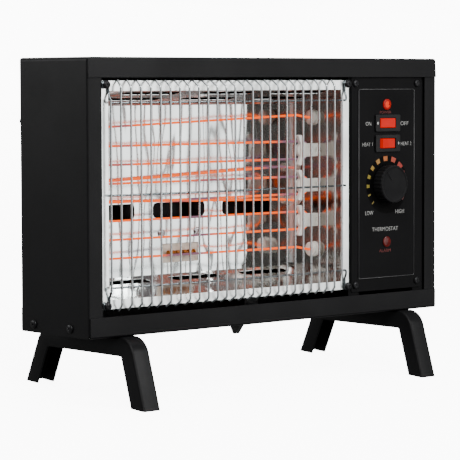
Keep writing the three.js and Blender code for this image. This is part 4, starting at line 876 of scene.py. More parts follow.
@dataclass
class Cabinet:
    """The folded steel case, its pan and back panel, and their screws and cord inlet."""

    kit: Kit
    half_width: float = 228.5
    depth: float = 106.0
    flange: float = 9.0
    side_screw: Screw = Screw(1.9, 5, 4.2, 2)
    side_screw_y: tuple[float, float] = (28, 85)
    side_screw_z: float = 8
    side_screw_turns: tuple[float, float] = (20, 50)
    back_screw: Screw = Screw(1.7, 5, 3.7, 1.8)
    back_screw_z: float = 200
    back_screw_turn: float = 33
    roundings: tuple[tuple[str, float], ...] = (
        ("case_wrap", 0.45), ("base_pan", 0.4), ("back_panel", 0.25))
    inlet: tuple[float, float, float] = (190, 105, 40)
    inlet_profile: tuple[tuple[float, float], ...] = (
        (3.6, -5), (9.5, -5), (9.5, -1.4), (7, -1.4), (7, 0), (9.5, 0), (9.5, 2), (6, 2),
        (5.6, 7), (3.6, 7))
    inlet_edge: float = 0.5

    def build(self) -> None:
        """Build the sheets, the screws and the inlet."""
        for node, width in self.roundings:
            piece = self.kit.edged(node, POWDER_COAT, "case_paint", width)
            piece.modifiers["rounded_edges"].use_clamp_overlap = node == "case_wrap"
        self.screws()
        self.cord_inlet()

    def screws(self) -> None:
        """Set the side and rear screws."""
        turn, more = self.side_screw_turns
        for side, word, facing in ((-1, "left", Facing.LEFT), (1, "right", Facing.RIGHT)):
            x = side * (self.half_width + SEAT)
            places = [(x, y, self.side_screw_z) for y in self.side_screw_y]
            self.side_screw.fit_all(self.kit, f"side_screw_{word}", places, facing,
                                    (turn, more * side))
            place = (side * (self.half_width - self.flange / 2), self.depth + SEAT,
                     self.back_screw_z)
            self.back_screw.fit(self.kit, f"back_screw_{word}", place, Facing.BACK,
                                self.back_screw_turn * side)

    def cord_inlet(self) -> None:
        """Turn the ring that the mains lead comes in by: a closed profile about its bore."""
        local = turned(rounded_ring(self.inlet_profile, self.inlet_edge, 3), 64)
        skin = Skin().stand(Facing.BACK, self.inlet, local)
        self.kit.add("cord_inlet_ring", skin, MOULDED_BLACK, "moulded_black", ["cord_inlet"])


@dataclass
class Stand:
    """Two feet of channel, bent over the full depth and cut off level with the floor.

    Corners are the radii of the section's corners, in the order of its outline.
    """

    kit: Kit
    centre: float = 182.35
    half: float = 10.25
    flange: float = 18
    sheet: float = 1.6
    corners: tuple[float, ...] = (0.5, 2.4, 2.4, 0.5, 0.5, 0.8, 0.8, 0.5)
    front_knee: float = -14.9
    rear_knee: float = 124.7
    drop: float = 106
    slant: float = math.radians(21)
    bend: float = 20
    screw: Screw = Screw(2.4, 6, 4.4, 2.6)
    screw_y: tuple[float, float] = (22, 84)
    screw_turns: tuple[float, float] = (12, 41)

    def section(self) -> Array:
        """Work out the channel's closed outline: (across, depth) with bent and eased corners.

        Returns:
            (n, 2) points, where depth runs inwards from the outer face.
        """
        half, inner, deep, sheet = self.half, self.half - self.sheet, self.flange, self.sheet
        corners = [(-half, deep), (-half, 0), (half, 0), (half, deep),
                   (inner, deep), (inner, sheet), (-inner, sheet), (-inner, deep)]
        return rounded(corners, self.corners, 5, closed=True)

    def line(self) -> Array:
        """Work out the outer face's line in (y, z), from the front tip to the rear tip."""
        front, rear = math.tan(self.slant - LEAN.angle), math.tan(self.slant + LEAN.angle)
        foot = -SEAT - self.drop
        corners = [(self.front_knee - self.drop * front, foot), (self.front_knee, -SEAT),
                   (self.rear_knee, -SEAT), (self.rear_knee + self.drop * rear, foot)]
        return rounded(corners, self.bend, 20)

    def channel(self, centre: float) -> Skin:
        """Sweep the section along the line: point = line + depth times the inward normal.

        The two end rings slide along their legs to the floor's plane, so the cut is level.

        Args:
            centre: the foot's middle in x.

        Returns:
            The closed skin.
        """
        line, section = self.line(), self.section()
        along = np.gradient(line, axis=0)
        along /= np.linalg.norm(along, axis=1, keepdims=True)
        inward = np.stack([along[:, 1], -along[:, 0]], axis=1)
        flat = line[:, None] + section[None, :, 1:] * inward[:, None]
        for end, way in ((0, along[0]), (-1, along[-1])):
            fall = LEAN.above_floor(way) - LEAN.rise
            flat[end] = flat[end] - (LEAN.above_floor(flat[end]) / fall)[:, None] * way
        across = np.broadcast_to(centre + section[:, 0], flat.shape[:2])
        rings = np.concatenate([across[..., None], flat], axis=-1)
        skin = Skin().grid(rings, around=True)
        size = len(section)
        skin.faces.append(list(range(size)))
        skin.faces.append(list(range(skin.count - size, skin.count)))
        return skin

    def build(self) -> None:
        """Build both feet and their screws."""
        for side, word in ((-1, "left"), (1, "right")):
            self.kit.add(f"foot_{word}_channel", self.channel(side * self.centre), POWDER_COAT,
                         "case_paint", [f"foot_{word}"])
            places = [(side * self.centre, y, -self.sheet - 2 * SEAT) for y in self.screw_y]
            self.screw.fit_all(self.kit, f"foot_screw_{word}", places, Facing.DOWN,
                               self.screw_turns)


# Reflector chamber

@dataclass
class Reflector:
    """The slotted mirror trough and its ends, with the thermal cut-out at its window.

    A shield's span is its left, right, low and high edge. A fold is the corner's x and y, its
    radius, and its low and high end. Faces before rim are the sheet's front, which ends at
    rim_low and rim_high.
    """

    kit: Kit
    window: tuple[float, float, float] = (-58, 72.3, 68)
    coil_half: float = 15.6
    coil_radius: float = 2.15
    coil_wire: float = 0.5
    coil_pitch: float = 1.12
    coil_turns: int = 4
    coil_steps: int = 20
    coils: tuple[float, ...] = (-10.6, -4.2, 4.2, 10.6)
    core: float = 0.7
    collar: tuple[float, float] = (3.0, 17)
    collar_edge: float = 0.5
    screw: Screw = Screw(1.6, 5, 4, 1.8)
    screw_spacing: float = 46
    screw_place: tuple[float, float] = (74.7, 88)
    screw_turns: tuple[float, float] = (-25, 50)
    shield_span: tuple[float, float, float, float] = (-215, 101, 30, 232)
    shield_y: float = 97
    shield_sheet: float = 0.6
    mirror_edge: float = 0.2
    mica_edge: float = 0.15
    rim: float = 2.2
    rim_low: float = 26.3
    rim_high: float = 238.0
    fold: tuple[float, float, float, float, float] = (92.9, 75.2, 6.0, 50.0, 215.0)

    def sheet(self, node: str, finish: Finish) -> None:
        """Edge one mirror sheet: its rim is trimmed clear of the case's lips and finished softer.

        Args:
            node: the CAD node that it stands for.
            finish: its surface behind the rim.
        """
        mesh = self.kit.edged(node, finish, "mirror_sheet", self.mirror_edge).data
        points = LEAN.lift(places_of(mesh))
        front = points[:, 1] < self.rim
        points[front, 2] = np.clip(points[front, 2], self.rim_low, self.rim_high)
        mesh.materials.append(MIRROR_RIM.material())
        for face in mesh.polygons:
            if all(front[k] for k in face.vertices):
                face.material_index = 1
        move_to(mesh, points)

    def build(self) -> None:
        """Build the sheets and the cut-out."""
        self.sheet("reflector_trough", MIRROR_SHEET)
        # The ends take the darker copy of the sheet: painted shade.
        self.sheet("reflector_end_left", MIRROR_END_SHADED)
        self.sheet("reflector_end_right", MIRROR_END_SHADED)
        self.kit.edged("mica_plate", MICA, "mica", self.mica_edge)
        self.cutout()
        self.shield()
        self.corner_fold()
        places = [(self.window[0] + side * self.screw_spacing / 2, *self.screw_place)
                  for side in (-1, 1)]
        self.screw.fit_all(self.kit, "cutout_screw", places, Facing.FRONT, self.screw_turns,
                           ZINC_PLATE, "zinc_steel")

    def shield(self) -> None:
        """Stand a black sheet behind the trough, so that no daylight shows through its slots:
        painted shade for the dark inside of the case.
        """
        left, right, low, high = self.shield_span
        y = self.shield_y
        corners = np.array([(left, y, low), (right, y, low), (right, y, high), (left, y, high)])
        self.kit.add("painted_shade_sheet", Skin().film(corners, -self.shield_sheet), POWDER_COAT,
                     "case_paint")

    def corner_fold(self) -> None:
        """Round the corner of the back wall and the right end: a quarter circle drawn upwards."""
        x, y, radius, low, high = self.fold
        angle = np.linspace(0, np.pi / 2, 9)
        bend = np.stack([x - radius + radius * np.cos(angle),
                         y - radius + radius * np.sin(angle)], axis=1)
        ring = np.concatenate([bend, [(x, y)]])
        ends = [np.column_stack([ring, np.full(len(ring), z)]) for z in (low, high)]
        self.kit.add("mirror_corner_fold", Skin().rod(*ends), MIRROR_RIM, "mirror_sheet")

    def cutout(self) -> None:
        """Wind the copper wire: short helices about one thin core, with a collar at each end."""
        angle = np.linspace(0, self.coil_turns * 2 * np.pi, self.coil_turns * self.coil_steps)
        skin = Skin()
        for middle in self.coils:
            run = middle + self.coil_pitch * (angle / (2 * np.pi) - self.coil_turns / 2)
            path = np.array(self.window) + np.stack(
                [run, self.coil_radius * np.cos(angle), self.coil_radius * np.sin(angle)], axis=1)
            skin.wire(path, self.coil_wire, 8, (1, 0, 0))
        (radius, reach), half, edge = self.collar, self.coil_half, self.collar_edge
        corners = [(0, -reach), (radius, -reach), (radius, -half), (self.core, -half),
                   (self.core, half), (radius, half), (radius, reach), (0, reach)]
        line = rounded(corners, [edge, edge, edge / 10, edge / 10, edge, edge], 3)
        skin.stand(Facing.RIGHT, self.window, turned(line, 32))
        self.kit.add("thermal_cutout_coil", skin, COPPER, "copper", ["thermal_cutout"])


@dataclass
class Heating:
    """The strung coils of resistance wire, and the ceramics that carry them.

    Leads are the heights of the upper and the lower bushing, each with the height of the strand
    that it feeds: the booster's are measured from its middle. A lead starts lead_in behind the
    wall and runs straight to lead_out in front of its bushing. Bushings are a radius, a length, a
    crown and a neck's radius; waist is the share of the radius at the groove, and the shares of
    the length where it starts and ends. The winding's radius is thinner by wound_in at each beat.
    """

    kit: Kit
    wall: float = 92.7
    plane: float = 40
    booster_plane: float = 65
    radius: float = 0.65
    winding: float = 1.2
    wound_in: float = 0.8
    beat: float = 0.55
    wire_bend: float = 2.0
    bushing: tuple[float, float, float, float] = (7.8, 7.5, 1.6, 3.6)
    booster_bushing: tuple[float, float, float, float] = (4.6, 5, 0.8, 2.6)
    waist: tuple[float, float, float] = (0.62, 0.3, 0.62)
    neck_reach: float = 2.7
    bushing_bends: tuple[float, ...] = (0.3, 0.3, 0.2, 0.5, 0.4, 0.4, 0.4, 0.4, 0.9, 0.9, 0.4)
    pitch: float = 17.8
    top: float = 194
    turns: int = 7
    left_spool: float = -184.7
    right_spool: float = 74.7
    booster_centre: float = 131.7
    lead_x: float = 68.2
    lead_in: float = 2.4
    lead_out: float = 2
    leads: tuple[tuple[float, float], ...] = ((200.3, 202.8), (65.9, 68.9))
    booster_leads: tuple[tuple[float, float], ...] = ((16.7, 18.3), (-16.8, -15.2))
    spool_edge: float = 0.7

    def turn(self, i: int, plane: float, z: float) -> Array:
        """Bend the wire round one spool: half a circle from its top to its bottom.

        Args:
            i: its number from the top, where even ones stand on the left.
            plane: the wire's depth.
            z: the spool's height.

        Returns:
            (n, 3) points.
        """
        x, out = ((self.left_spool, 1), (self.right_spool, -1))[i % 2]
        reach = self.pitch / 2
        return arc((x, z), plane, reach, reach, np.pi / 2 + out * np.linspace(0, np.pi, 19))

    def lead(self, length: float, plane: float, bushing: float, strand: float) -> Array:
        """Draw the wire from its bushing in the end wall to where its strand starts.

        Args:
            length: how far the bushing stands from the wall.
            plane: the wire's depth.
            bushing: the bushing's height.
            strand: the strand's height.

        Returns:
            (3, 3) points.
        """
        return np.array([(self.wall + self.lead_in, plane, bushing),
                         (self.wall - length - self.lead_out, plane, bushing),
                         (self.lead_x, plane, strand)])

    def coil(self, path: Array) -> Skin:
        """Wind the wire: a tube along the path whose radius beats once for each close turn.

        Args:
            path: the coil's middle line.

        Returns:
            The closed skin.
        """
        line = spaced(rounded(path, self.wire_bend, 3), self.beat)
        thin = self.winding * self.wound_in
        return Skin().wire(line, np.where(np.arange(len(line)) % 2 == 0, self.winding, thin), 8,
                           (0, 1, 0))

    def build(self) -> None:
        """Build both elements, the horned ceramics and the bushings."""
        middle = self.booster_centre
        centres = self.top - self.pitch * (np.arange(self.turns) + 0.5)
        far_leads = [(middle + bushing, middle + strand) for bushing, strand in self.booster_leads]
        elements = (("main", "", self.plane, self.bushing, self.leads, centres),
                    ("booster", "booster_", self.booster_plane, self.booster_bushing, far_leads,
                     [middle]))
        for word, _, plane, size, (upper, lower), spools in elements:
            bends = [self.turn(i, plane, z) for i, z in enumerate(spools)]
            path = np.concatenate([self.lead(size[1], plane, *upper), *bends,
                                   self.lead(size[1], plane, *lower)[::-1]])
            self.kit.add(f"{word}_coil", self.coil(path), HOT_WIRE, "heating_wire",
                         [f"{word}_element"], sharp=ALL_SMOOTH)
        for name in (*(f"left_{i}" for i in (1, 2, 3, 4)), *(f"right_{i}" for i in (1, 2, 3)),
                     "booster"):
            self.kit.edged(f"insulator_{name}", STEATITE, "steatite", self.spool_edge, segments=3)
        for _, word, plane, size, leads, _ in elements:
            for end, (z, _) in zip(("top", "bottom"), leads):
                self.turn_bushing(f"{word}bushing_{end}", size, (self.wall, plane, z))

    def turn_bushing(self, node: str, size: Sequence[float], place: Sequence[float]) -> None:
        """Turn one bushing about the wire: a closed profile with a bore and a waist.

        Args:
            node: the CAD node that it stands for.
            size: its radius, its length, its crown and its neck's radius.
            place: where its axis meets the wall.
        """
        radius, length, crown, neck = size
        bore, back = self.radius + SEAT, -self.neck_reach - SEAT
        waist, low, high = (whole * share for whole, share in zip((radius, length, length),
                                                                  self.waist))
        corners = [(bore, back), (neck, back), (neck, 0), (radius, 0), (radius, low),
                   (waist, low + 0.5), (waist, high - 0.5), (radius - 0.4, high),
                   (radius - 0.4, length - crown * 0.6), (radius - crown, length), (bore, length)]
        local = turned(rounded_ring(corners, self.bushing_bends, 3), 48)
        skin = Skin().stand(Facing.LEFT, place, local)
        self.kit.add(f"{node}_turned", skin, STEATITE, "steatite", [node])


# Wire guard

@dataclass
class Guard:
    """Twenty-seven upright wires on three bowed rails, hooked round four screws.

    Screws are the left and right x and the high and low z. A hook's leg leaves the sheet at the
    first of leg, in bends from the rail, and is at the rail's depth at the second.
    """

    kit: Kit
    radius: float = 1.0
    count: int = 27
    pitch: float = 11.30192
    left: float = -204.3
    top: float = 238
    bottom: float = 24.8
    knee: float = 5.5
    knee_bend: float = 3.2
    lie: float = 0.0
    standoff: float = 4
    bow: float = 5.6
    weld: float = 0.45
    rails: tuple[float, float, float] = (46.3, 132, 217.7)
    bend: float = 4
    leg: tuple[float, float] = (2.2, 0.9)
    leg_bends: tuple[float, ...] = (3, 1.6, 2.2)
    middle_end: float = 1.0
    middle_bend: float = 2.5
    hook_radius: float = 3.3
    sweep: float = math.radians(240)
    screws: tuple[float, float, float, float] = (-207.1, 100, 234.2, 29.6)
    screw: Screw = Screw(2, 8, 4, 2.5)
    screw_turns: tuple[float, float] = (10, 37)
    sides: int = 12

    def front(self, x: ArrayLike) -> Array:
        """How far forward the wires stand at x: a parabola that is deepest in the middle."""
        half = self.pitch * (self.count - 1) / 2
        share = (np.asarray(x, float) - self.left - half) / half
        return -self.standoff - self.bow * (1 - share * share)

    def behind(self, x: ArrayLike) -> Array:
        """Where a rail lies, welded behind the uprights."""
        return self.front(x) + 2 * self.radius - self.weld

    def upright(self, i: int) -> Array:
        """Draw one upright wire: all but the two outer ones are bent back to the sheet.

        Args:
            i: its number from the left.

        Returns:
            (n, 3) points.
        """
        x = self.left + self.pitch * i
        y = float(self.front(x))
        if i in (0, self.count - 1):
            past = self.bend / 2 + self.radius
            return np.array([(x, y, self.rails[0] - past), (x, y, self.rails[2] + past)])
        corners = [(x, self.lie, self.bottom), (x, y, self.bottom + self.knee),
                   (x, y, self.top - self.knee), (x, self.lie, self.top)]
        return rounded(corners, self.knee_bend, 5)

    def run(self, z: float) -> Array:
        """Draw a rail's bowed middle at height z.

        Args:
            z: the rail's height.

        Returns:
            (n, 3) points from left to right.
        """
        inner = self.hook_radius + self.bend
        x = np.linspace(self.screws[0] + inner, self.screws[1] - inner, 41)
        return np.stack([x, self.behind(x), np.full_like(x, z)], axis=1)

    def hook(self, screw_x: float, screw_z: float, rail: float, way: int) -> Array:
        """Draw a hook: an arc round the screw, then its leg to the rail.

        Args:
            screw_x: the screw's x.
            screw_z: the screw's z.
            rail: the rail's height.
            way: 1 where the rail lies to the right of the screw, -1 to its left.

        Returns:
            (n, 3) points that end beside the rail's start.
        """
        up = math.copysign(1, screw_z - rail)
        hook = arc((screw_x, screw_z), self.lie, way * self.hook_radius, up * self.hook_radius,
                   self.sweep * np.linspace(1, 0, 21))
        x = screw_x + way * self.hook_radius
        y = float(self.behind(x + way * self.bend))
        leave, reach = (rail + up * share * self.bend for share in self.leg)
        leg = rounded([hook[-1], (x, self.lie, leave), (x, y, reach), (x, y, rail),
                       (x + way * self.bend, y, rail)], self.leg_bends, 6)
        return np.concatenate([hook[:-1], leg])

    def build(self) -> None:
        """Build the guard's uprights, its rails with their hooks, and its screws."""
        skin = Skin()
        for i in range(self.count):
            skin.wire(self.upright(i), self.radius, self.sides, (1, 0, 0))
        self.kit.add("guard_wires", skin, CHROME_WIRE, "guard_chrome", ["wire_guard"],
                     sharp=FINE_TURN)
        skin = Skin()
        low, middle, high = self.rails
        left, right, top, bottom = self.screws
        for rail, screw_z in ((low, bottom), (high, top)):
            near = self.hook(left, screw_z, rail, 1)
            far = self.hook(right, screw_z, rail, -1)[::-1]
            path = np.concatenate([near, self.run(rail)[1:-1], far])
            skin.wire(path, self.radius, self.sides, (0, 1, 0))
        run = self.run(middle)
        ends = [np.array([(x, self.middle_end, middle),
                          (x, float(self.behind(x + way * self.bend)), middle)])
                for x, way in ((left + self.hook_radius, 1), (right - self.hook_radius, -1))]
        path = rounded(np.concatenate([ends[0], run[1:-1], ends[1][::-1]]), self.middle_bend, 4)
        skin.wire(path, self.radius, self.sides, (0, 0, 1))
        # The rails wear the darker chrome, which is painted shade.
        self.kit.add("guard_rails", skin, CHROME_RAIL_SHADED, "guard_chrome", ["wire_guard"],
                     sharp=FINE_TURN)
        places = [(x, self.lie - self.radius - SEAT, z) for z in (top, bottom)
                  for x in (left, right)]
        self.screw.fit_all(self.kit, "guard_screw", places, Facing.FRONT, self.screw_turns)


# Control column

class Word(Enum):
    """The generic words on the panel: text, left and right ends, height, capitals' size and ink."""

    ON = ("ON", 126.7, 134.4, 193.6, 3.8, WHITE_INK)
    OFF = ("OFF", 176.6, 188.0, 193.4, 3.8, WHITE_INK)
    HEAT_ONE = ("HEAT 1", 121.9, 136.4, 172.5, 3.6, WHITE_INK)
    HEAT_TWO = ("HEAT 2", 177.2, 192.4, 172.5, 3.6, WHITE_INK)
    LOW = ("LOW", 126.1, 137.5, 102.5, 4.0, WHITE_INK)
    HIGH = ("HIGH", 169.4, 181.8, 102.8, 4.0, WHITE_INK)
    THERMOSTAT = ("THERMOSTAT", 135.9, 173.1, 85.4, 4.0, WHITE_INK)
    POWER = ("POWER", 146.8, 163.0, 205.1, 2.6, RED_INK)
    ALARM = ("ALARM", 146.2, 162.4, 63.1, 3.0, RED_INK)


@dataclass
class Dial:
    """The printed scale: blocks that grow from low to high round the knob.

    Each block has its angle in degrees, its length along the radius, its width and its ink.
    """

    centre: tuple[float, float] = (157.0, 130.8)
    radius: float = 26.9
    face: float = 29.6
    angles: tuple[float, ...] = (-132, -112, -92, -71.5, -50, -28, -4.5, 20, 44, 68, 92, 117)
    long: tuple[float, ...] = (3.6, 3.8, 4.0, 4.2, 4.4, 4.6, 4.8, 5.0, 5.0, 3.4, 3.2, 3.0)
    wide: tuple[float, ...] = (1.3, 1.8, 3.2, 3.8, 4.3, 5.0, 5.6, 6.2, 6.8, 7.4, 8.0, 8.6)
    inks: tuple[str, ...] = ("7c6a26", "7a6c26", "7e7020", "82721f", "8c6e22", "986c2a", "9e5418",
                             "983214", "90200f", "6a140a", "561008", "4a0c07")
    steps: int = 7

    def block(self, i: int, y: float, film: float) -> Skin:
        """Print one block: a sector of the ring, as a thin film.

        Args:
            i: its number from the low end.
            y: the panel's face.
            film: the ink's thickness.

        Returns:
            The closed skin.
        """
        middle = math.radians(self.angles[i])
        spread = self.wide[i] / self.radius / 2
        angle = middle + np.linspace(-spread, spread, self.steps)
        inner, outer = self.radius - self.long[i] / 2, self.radius + self.long[i] / 2
        radius = np.repeat([inner, outer], self.steps)
        angle = np.concatenate([angle, angle[::-1]])
        x, z = self.centre[0] + radius * np.sin(angle), self.centre[1] + radius * np.cos(angle)
        return Skin().film(np.stack([x, np.full_like(x, y), z], axis=1), film)


@dataclass
class ControlColumn:
    """The raised control plate, its print, switches, thermostat knob and lamps.

    A bead is the y, the radius and the corners' radius of the lighter bead along the panel's edge,
    a painted highlight. Dots are an x and two half widths. A heel is where a rocker's sides end
    behind its pivot, then the half width and the depth of its back. Ribs start as far inside the
    knob's radius as the first of rib_band and are full after the second. The pointer is a near end,
    a far end and a half width, and its rise is measured down from the knob's front.
    """

    kit: Kit
    face: float = 0.3
    film: float = 0.06
    centre: float = 157
    switch_z: tuple[float, float] = (194, 173.2)
    rocker_half: float = 9.6
    rocker_rise: float = 4.8
    rocker_angle: float = math.radians(6)
    rocker_hollow: float = 1.5
    rocker_heel: tuple[float, float, float] = (1.5, 4, 3.5)
    rocker_edge: float = 0.55
    pivot: float = 3.2
    body_edge: float = 0.35
    bezel_rise: float = 1.6
    dots: tuple[tuple[float, float, float], ...] = ((142.2, 1.35, 1.35), (172.0, 0.85, 1.35))
    dial: Dial = field(default_factory=Dial)
    knob_place: tuple[float, float, float] = (156.5, -0.3, 131.6)
    knob_radius: float = 19.7
    knob_height: float = 11.4
    knob_bends: tuple[float, ...] = (0.5, 0.5, 0.8, 0.8, 0.4, 0.3, 0.2, 0.2, 0.2, 0.2)
    knob_sharp: float = 35
    knob_ribs: int = 30
    rib_sides: int = 8
    rib_depth: float = 0.6
    rib_shape: float = 0.7
    rib_band: tuple[float, float] = (1.2, 0.8)
    pointer: tuple[float, float, float] = (5, 16.4, 0.8)
    pointer_rise: tuple[float, float] = (1.6, 0.1)
    pointer_bend: float = 0.7
    pointer_edge: float = 0.3
    pointer_turn: float = 129
    lamp_z: tuple[float, float] = (213, 72.1)
    lamp_radius: float = 5.5
    lamp_rim: float = 0.5
    lamp_rise: float = 1.5
    lamp_core: float = 0.62
    lamp_stem: tuple[float, float] = (4, 18)
    lamp_flutes: int = 12
    lamp_flute: float = 0.16
    lamp_sides: int = 72
    panel: tuple[float, float, float, float] = (117.3, 196.7, 35.8, 228.5)
    plate_edge: float = 0.3
    bead: tuple[float, float, float] = (0.55, 0.35, 1.5)
    screw: Screw = Screw(1.7, 6, 3.7, 1.8)
    screw_x: tuple[float, float] = (113, 201)
    screw_y: float = 1.0
    screw_z: tuple[float, float] = (234.5, 29.6)
    screw_turns: tuple[float, float] = (0, 29)

    def build(self) -> None:
        """Build the plate and all that it carries."""
        self.kit.dress("control_box", SATIN_PAINT)
        self.kit.edged("control_plate", SATIN_PAINT, "control_paint", self.plate_edge)
        self.panel_edge()
        self.switches()
        self.knob()
        self.print_dial()
        for word in Word:
            self.print_word(word)
        self.lamp("power_lamp", self.lamp_z[0], (LENS_LIT, LENS_RIM), "lens_lit")
        self.lamp("alarm_lamp", self.lamp_z[1], (LENS_DARK,), "lens_dark")
        places = [(x, self.screw_y, z) for z in self.screw_z for x in self.screw_x]
        self.screw.fit_all(self.kit, "control_screw", places, Facing.FRONT, self.screw_turns)

    def panel_edge(self) -> None:
        """Lay a fine bead of lighter paint along the pressed-up panel's edge: a painted highlight
        where its sides catch the light.
        """
        left, right, low, high = self.panel
        y, radius, bend = self.bead
        corners = [(left, y, low), (right, y, low), (right, y, high), (left, y, high)]
        line = rounded_ring(corners, bend, 5)
        skin = Skin()
        for near, far in zip(line[:-1], line[1:]):
            skin.wire(np.stack([near, far]), radius, 6, (0, 1, 0))
        self.kit.add("panel_edge", skin, HIGHLIGHT_EDGE_PAINT, "control_paint", sharp=ALL_SMOOTH)

    def switches(self) -> None:
        """Build both rocker switches and the white dot on each frame."""
        for word, z, tipped, dot in zip(("power", "heat"), self.switch_z, (-1, 1), self.dots):
            self.kit.edged(f"{word}_switch_body", SWITCH_NYLON, "switch_black", self.body_edge)
            self.rocker(f"{word}_rocker", z, tipped, f"{word}_rocker_body")
            x, wide, tall = dot
            ring = arc((x, z), -self.bezel_rise, wide, tall, once_round(28))
            self.kit.add(f"{word}_switch_dot", Skin().film(ring, self.film), WHITE_INK,
                         "switch_black")

    def rocker(self, node: str, z: float, tipped: int, body: str) -> None:
        """Build a rocker: its hollow face is valley + tan(angle) (h - sqrt(x^2 + h^2)).

        Args:
            node: the CAD node that it stands for.
            z: its height on the panel.
            tipped: which way it is pressed, 1 or -1.
            body: the CAD body that it moves with.
        """
        half, rise = self.rocker_half, self.rocker_rise
        x = np.linspace(-half, half, 33)
        valley = -self.pivot - self.bezel_rise
        hollow, (side, back, deep) = self.rocker_hollow, self.rocker_heel
        face = valley + math.tan(self.rocker_angle) * (hollow - np.sqrt(x * x + hollow ** 2))
        heel = [(half, -side), (back, deep), (-back, deep), (-half, -side)]
        loop = np.concatenate([np.stack([x, face], axis=1), heel])
        c, s = math.cos(tipped * self.rocker_angle), math.sin(tipped * self.rocker_angle)
        x = self.centre + loop[:, 0] * c - loop[:, 1] * s
        y = self.pivot + loop[:, 0] * s + loop[:, 1] * c
        rings = [np.stack([x, y, np.full_like(x, z + up)], axis=1) for up in (-rise, rise)]
        piece = self.kit.add(f"{node}_lens", Skin().rod(*rings), ROCKER_RED, "rocker_red",
                             [node], body, ALL_SMOOTH)
        soften(piece, self.rocker_edge, MOULD_TURN, 3)

    def knob(self) -> None:
        """Build the knob: a turned profile whose side sinks between its ribs, and a pointer bar.

        The side's radius is R - d (1/2 - 1/2 cos(n a))^p, faded out over the front bevel.
        """
        high, radius = self.knob_height, self.knob_radius
        corners = [(0, high - 0.5), (16.6, high - 0.5), (17.2, high), (radius - 0.9, high),
                   (radius, high - 1.1), (radius, 0.4), (radius - 0.4, 0), (6.5, 0), (6.5, 4),
                   (3.3, 4), (3.3, 9.5), (0, 9.5)]
        profile = rounded(corners, self.knob_bends, 4)
        fine = np.concatenate([np.linspace(a, b, 4)[:-1] for a, b in zip(profile, profile[1:])]
                              + [profile[-1:]])
        sides = self.rib_sides * self.knob_ribs
        local = turned(fine, sides)
        wave = 0.5 - 0.5 * np.cos(self.knob_ribs * once_round(sides))
        groove = wave ** self.rib_shape * self.rib_depth
        start, full = self.rib_band
        side = np.clip((fine[:, 0] - radius + start) / full, 0, 1)[:, None]
        shrink = 1 - side * groove[None] / np.maximum(fine[:, :1], 1)
        local[..., :2] *= shrink[..., None]
        skin = Skin().stand(Facing.FRONT, self.knob_place, self.pointed(local))
        self.kit.add("thermostat_knob_ribbed", skin, KNOB_PHENOLIC, "knob_black",
                     ["thermostat_knob"], "thermostat_dial", self.knob_sharp)
        near, far, half = self.pointer
        bar = rounded([(near, -half), (far, -half), (far, half), (near, half)], self.pointer_bend,
                      4, closed=True)
        rings = [Facing.FRONT.at(self.knob_place, self.pointed(
            np.column_stack([bar, np.full(len(bar), high - down)]))) for down in self.pointer_rise]
        piece = self.kit.add("thermostat_pointer", Skin().rod(*rings), KNOB_PHENOLIC,
                             "knob_black", (), "thermostat_dial", ALL_SMOOTH)
        soften(piece, self.pointer_edge, MOULD_TURN, 3)
        self.kit.dress("thermostat_shaft", ZINC_PLATE)
        self.kit.dress("thermostat_body", ZINC_PLATE)

    def pointed(self, local: Array) -> Array:
        """Turn local points about the knob's axis by the pointer's angle.

        Args:
            local: (across, up, out) points.

        Returns:
            The turned points.
        """
        turn = math.radians(self.pointer_turn)
        across, up = local[..., 0], local[..., 1]
        return np.stack([across * math.cos(turn) - up * math.sin(turn),
                         across * math.sin(turn) + up * math.cos(turn), local[..., 2]], axis=-1)

    def print_dial(self) -> None:
        """Print the black ring round the knob, which also stands in for the knob's painted shadow,
        and the coloured blocks on it.
        """
        film = self.film / 2
        ring = arc(self.dial.centre, self.face, self.dial.face, self.dial.face, once_round(120))
        # The black disc is partly print and partly the knob's painted shadow.
        self.kit.add("dial_disc_and_painted_shadow", Skin().film(ring, film), BLACK_INK_AND_SHADOW, "control_paint")
        for i, ink in enumerate(self.dial.inks):
            finish = replace(WHITE_INK, name=f"pad_printed_dial_{i + 1}", colour=ink, shade=ink)
            self.kit.add(f"dial_block_{i + 1}", self.dial.block(i, self.face - film, film),
                         finish, "control_paint")

    def print_word(self, word: Word) -> None:
        """Print a word: its text as a mesh, stretched to the room that it has on the panel.

        The text's own size and depth don't matter, and the offset thins its strokes.

        Args:
            word: the word and its place.
        """
        text, left, right, z, tall, ink = word.value
        curve = bpy.data.curves.new(text, "FONT")
        curve.body, curve.size, curve.extrude = text, 10, 0.5
        curve.offset, curve.resolution_u = -0.1, 4
        holder = put(text, curve)
        bpy.context.view_layer.update()
        mesh = bpy.data.meshes.new_from_object(holder)
        bpy.data.objects.remove(holder)
        flat = places_of(mesh)
        low, high = flat.min(axis=0), flat.max(axis=0)
        share = (flat - low) / (high - low)
        x = left + share[:, 0] * (right - left)
        y = self.face - share[:, 2] * self.film
        move_to(mesh, np.stack([x, y, z + (share[:, 1] - 0.5) * tall], axis=1))
        mesh.name = "word_" + text.lower().replace(" ", "_")
        self.kit.add(mesh.name, mesh, ink, "control_paint")

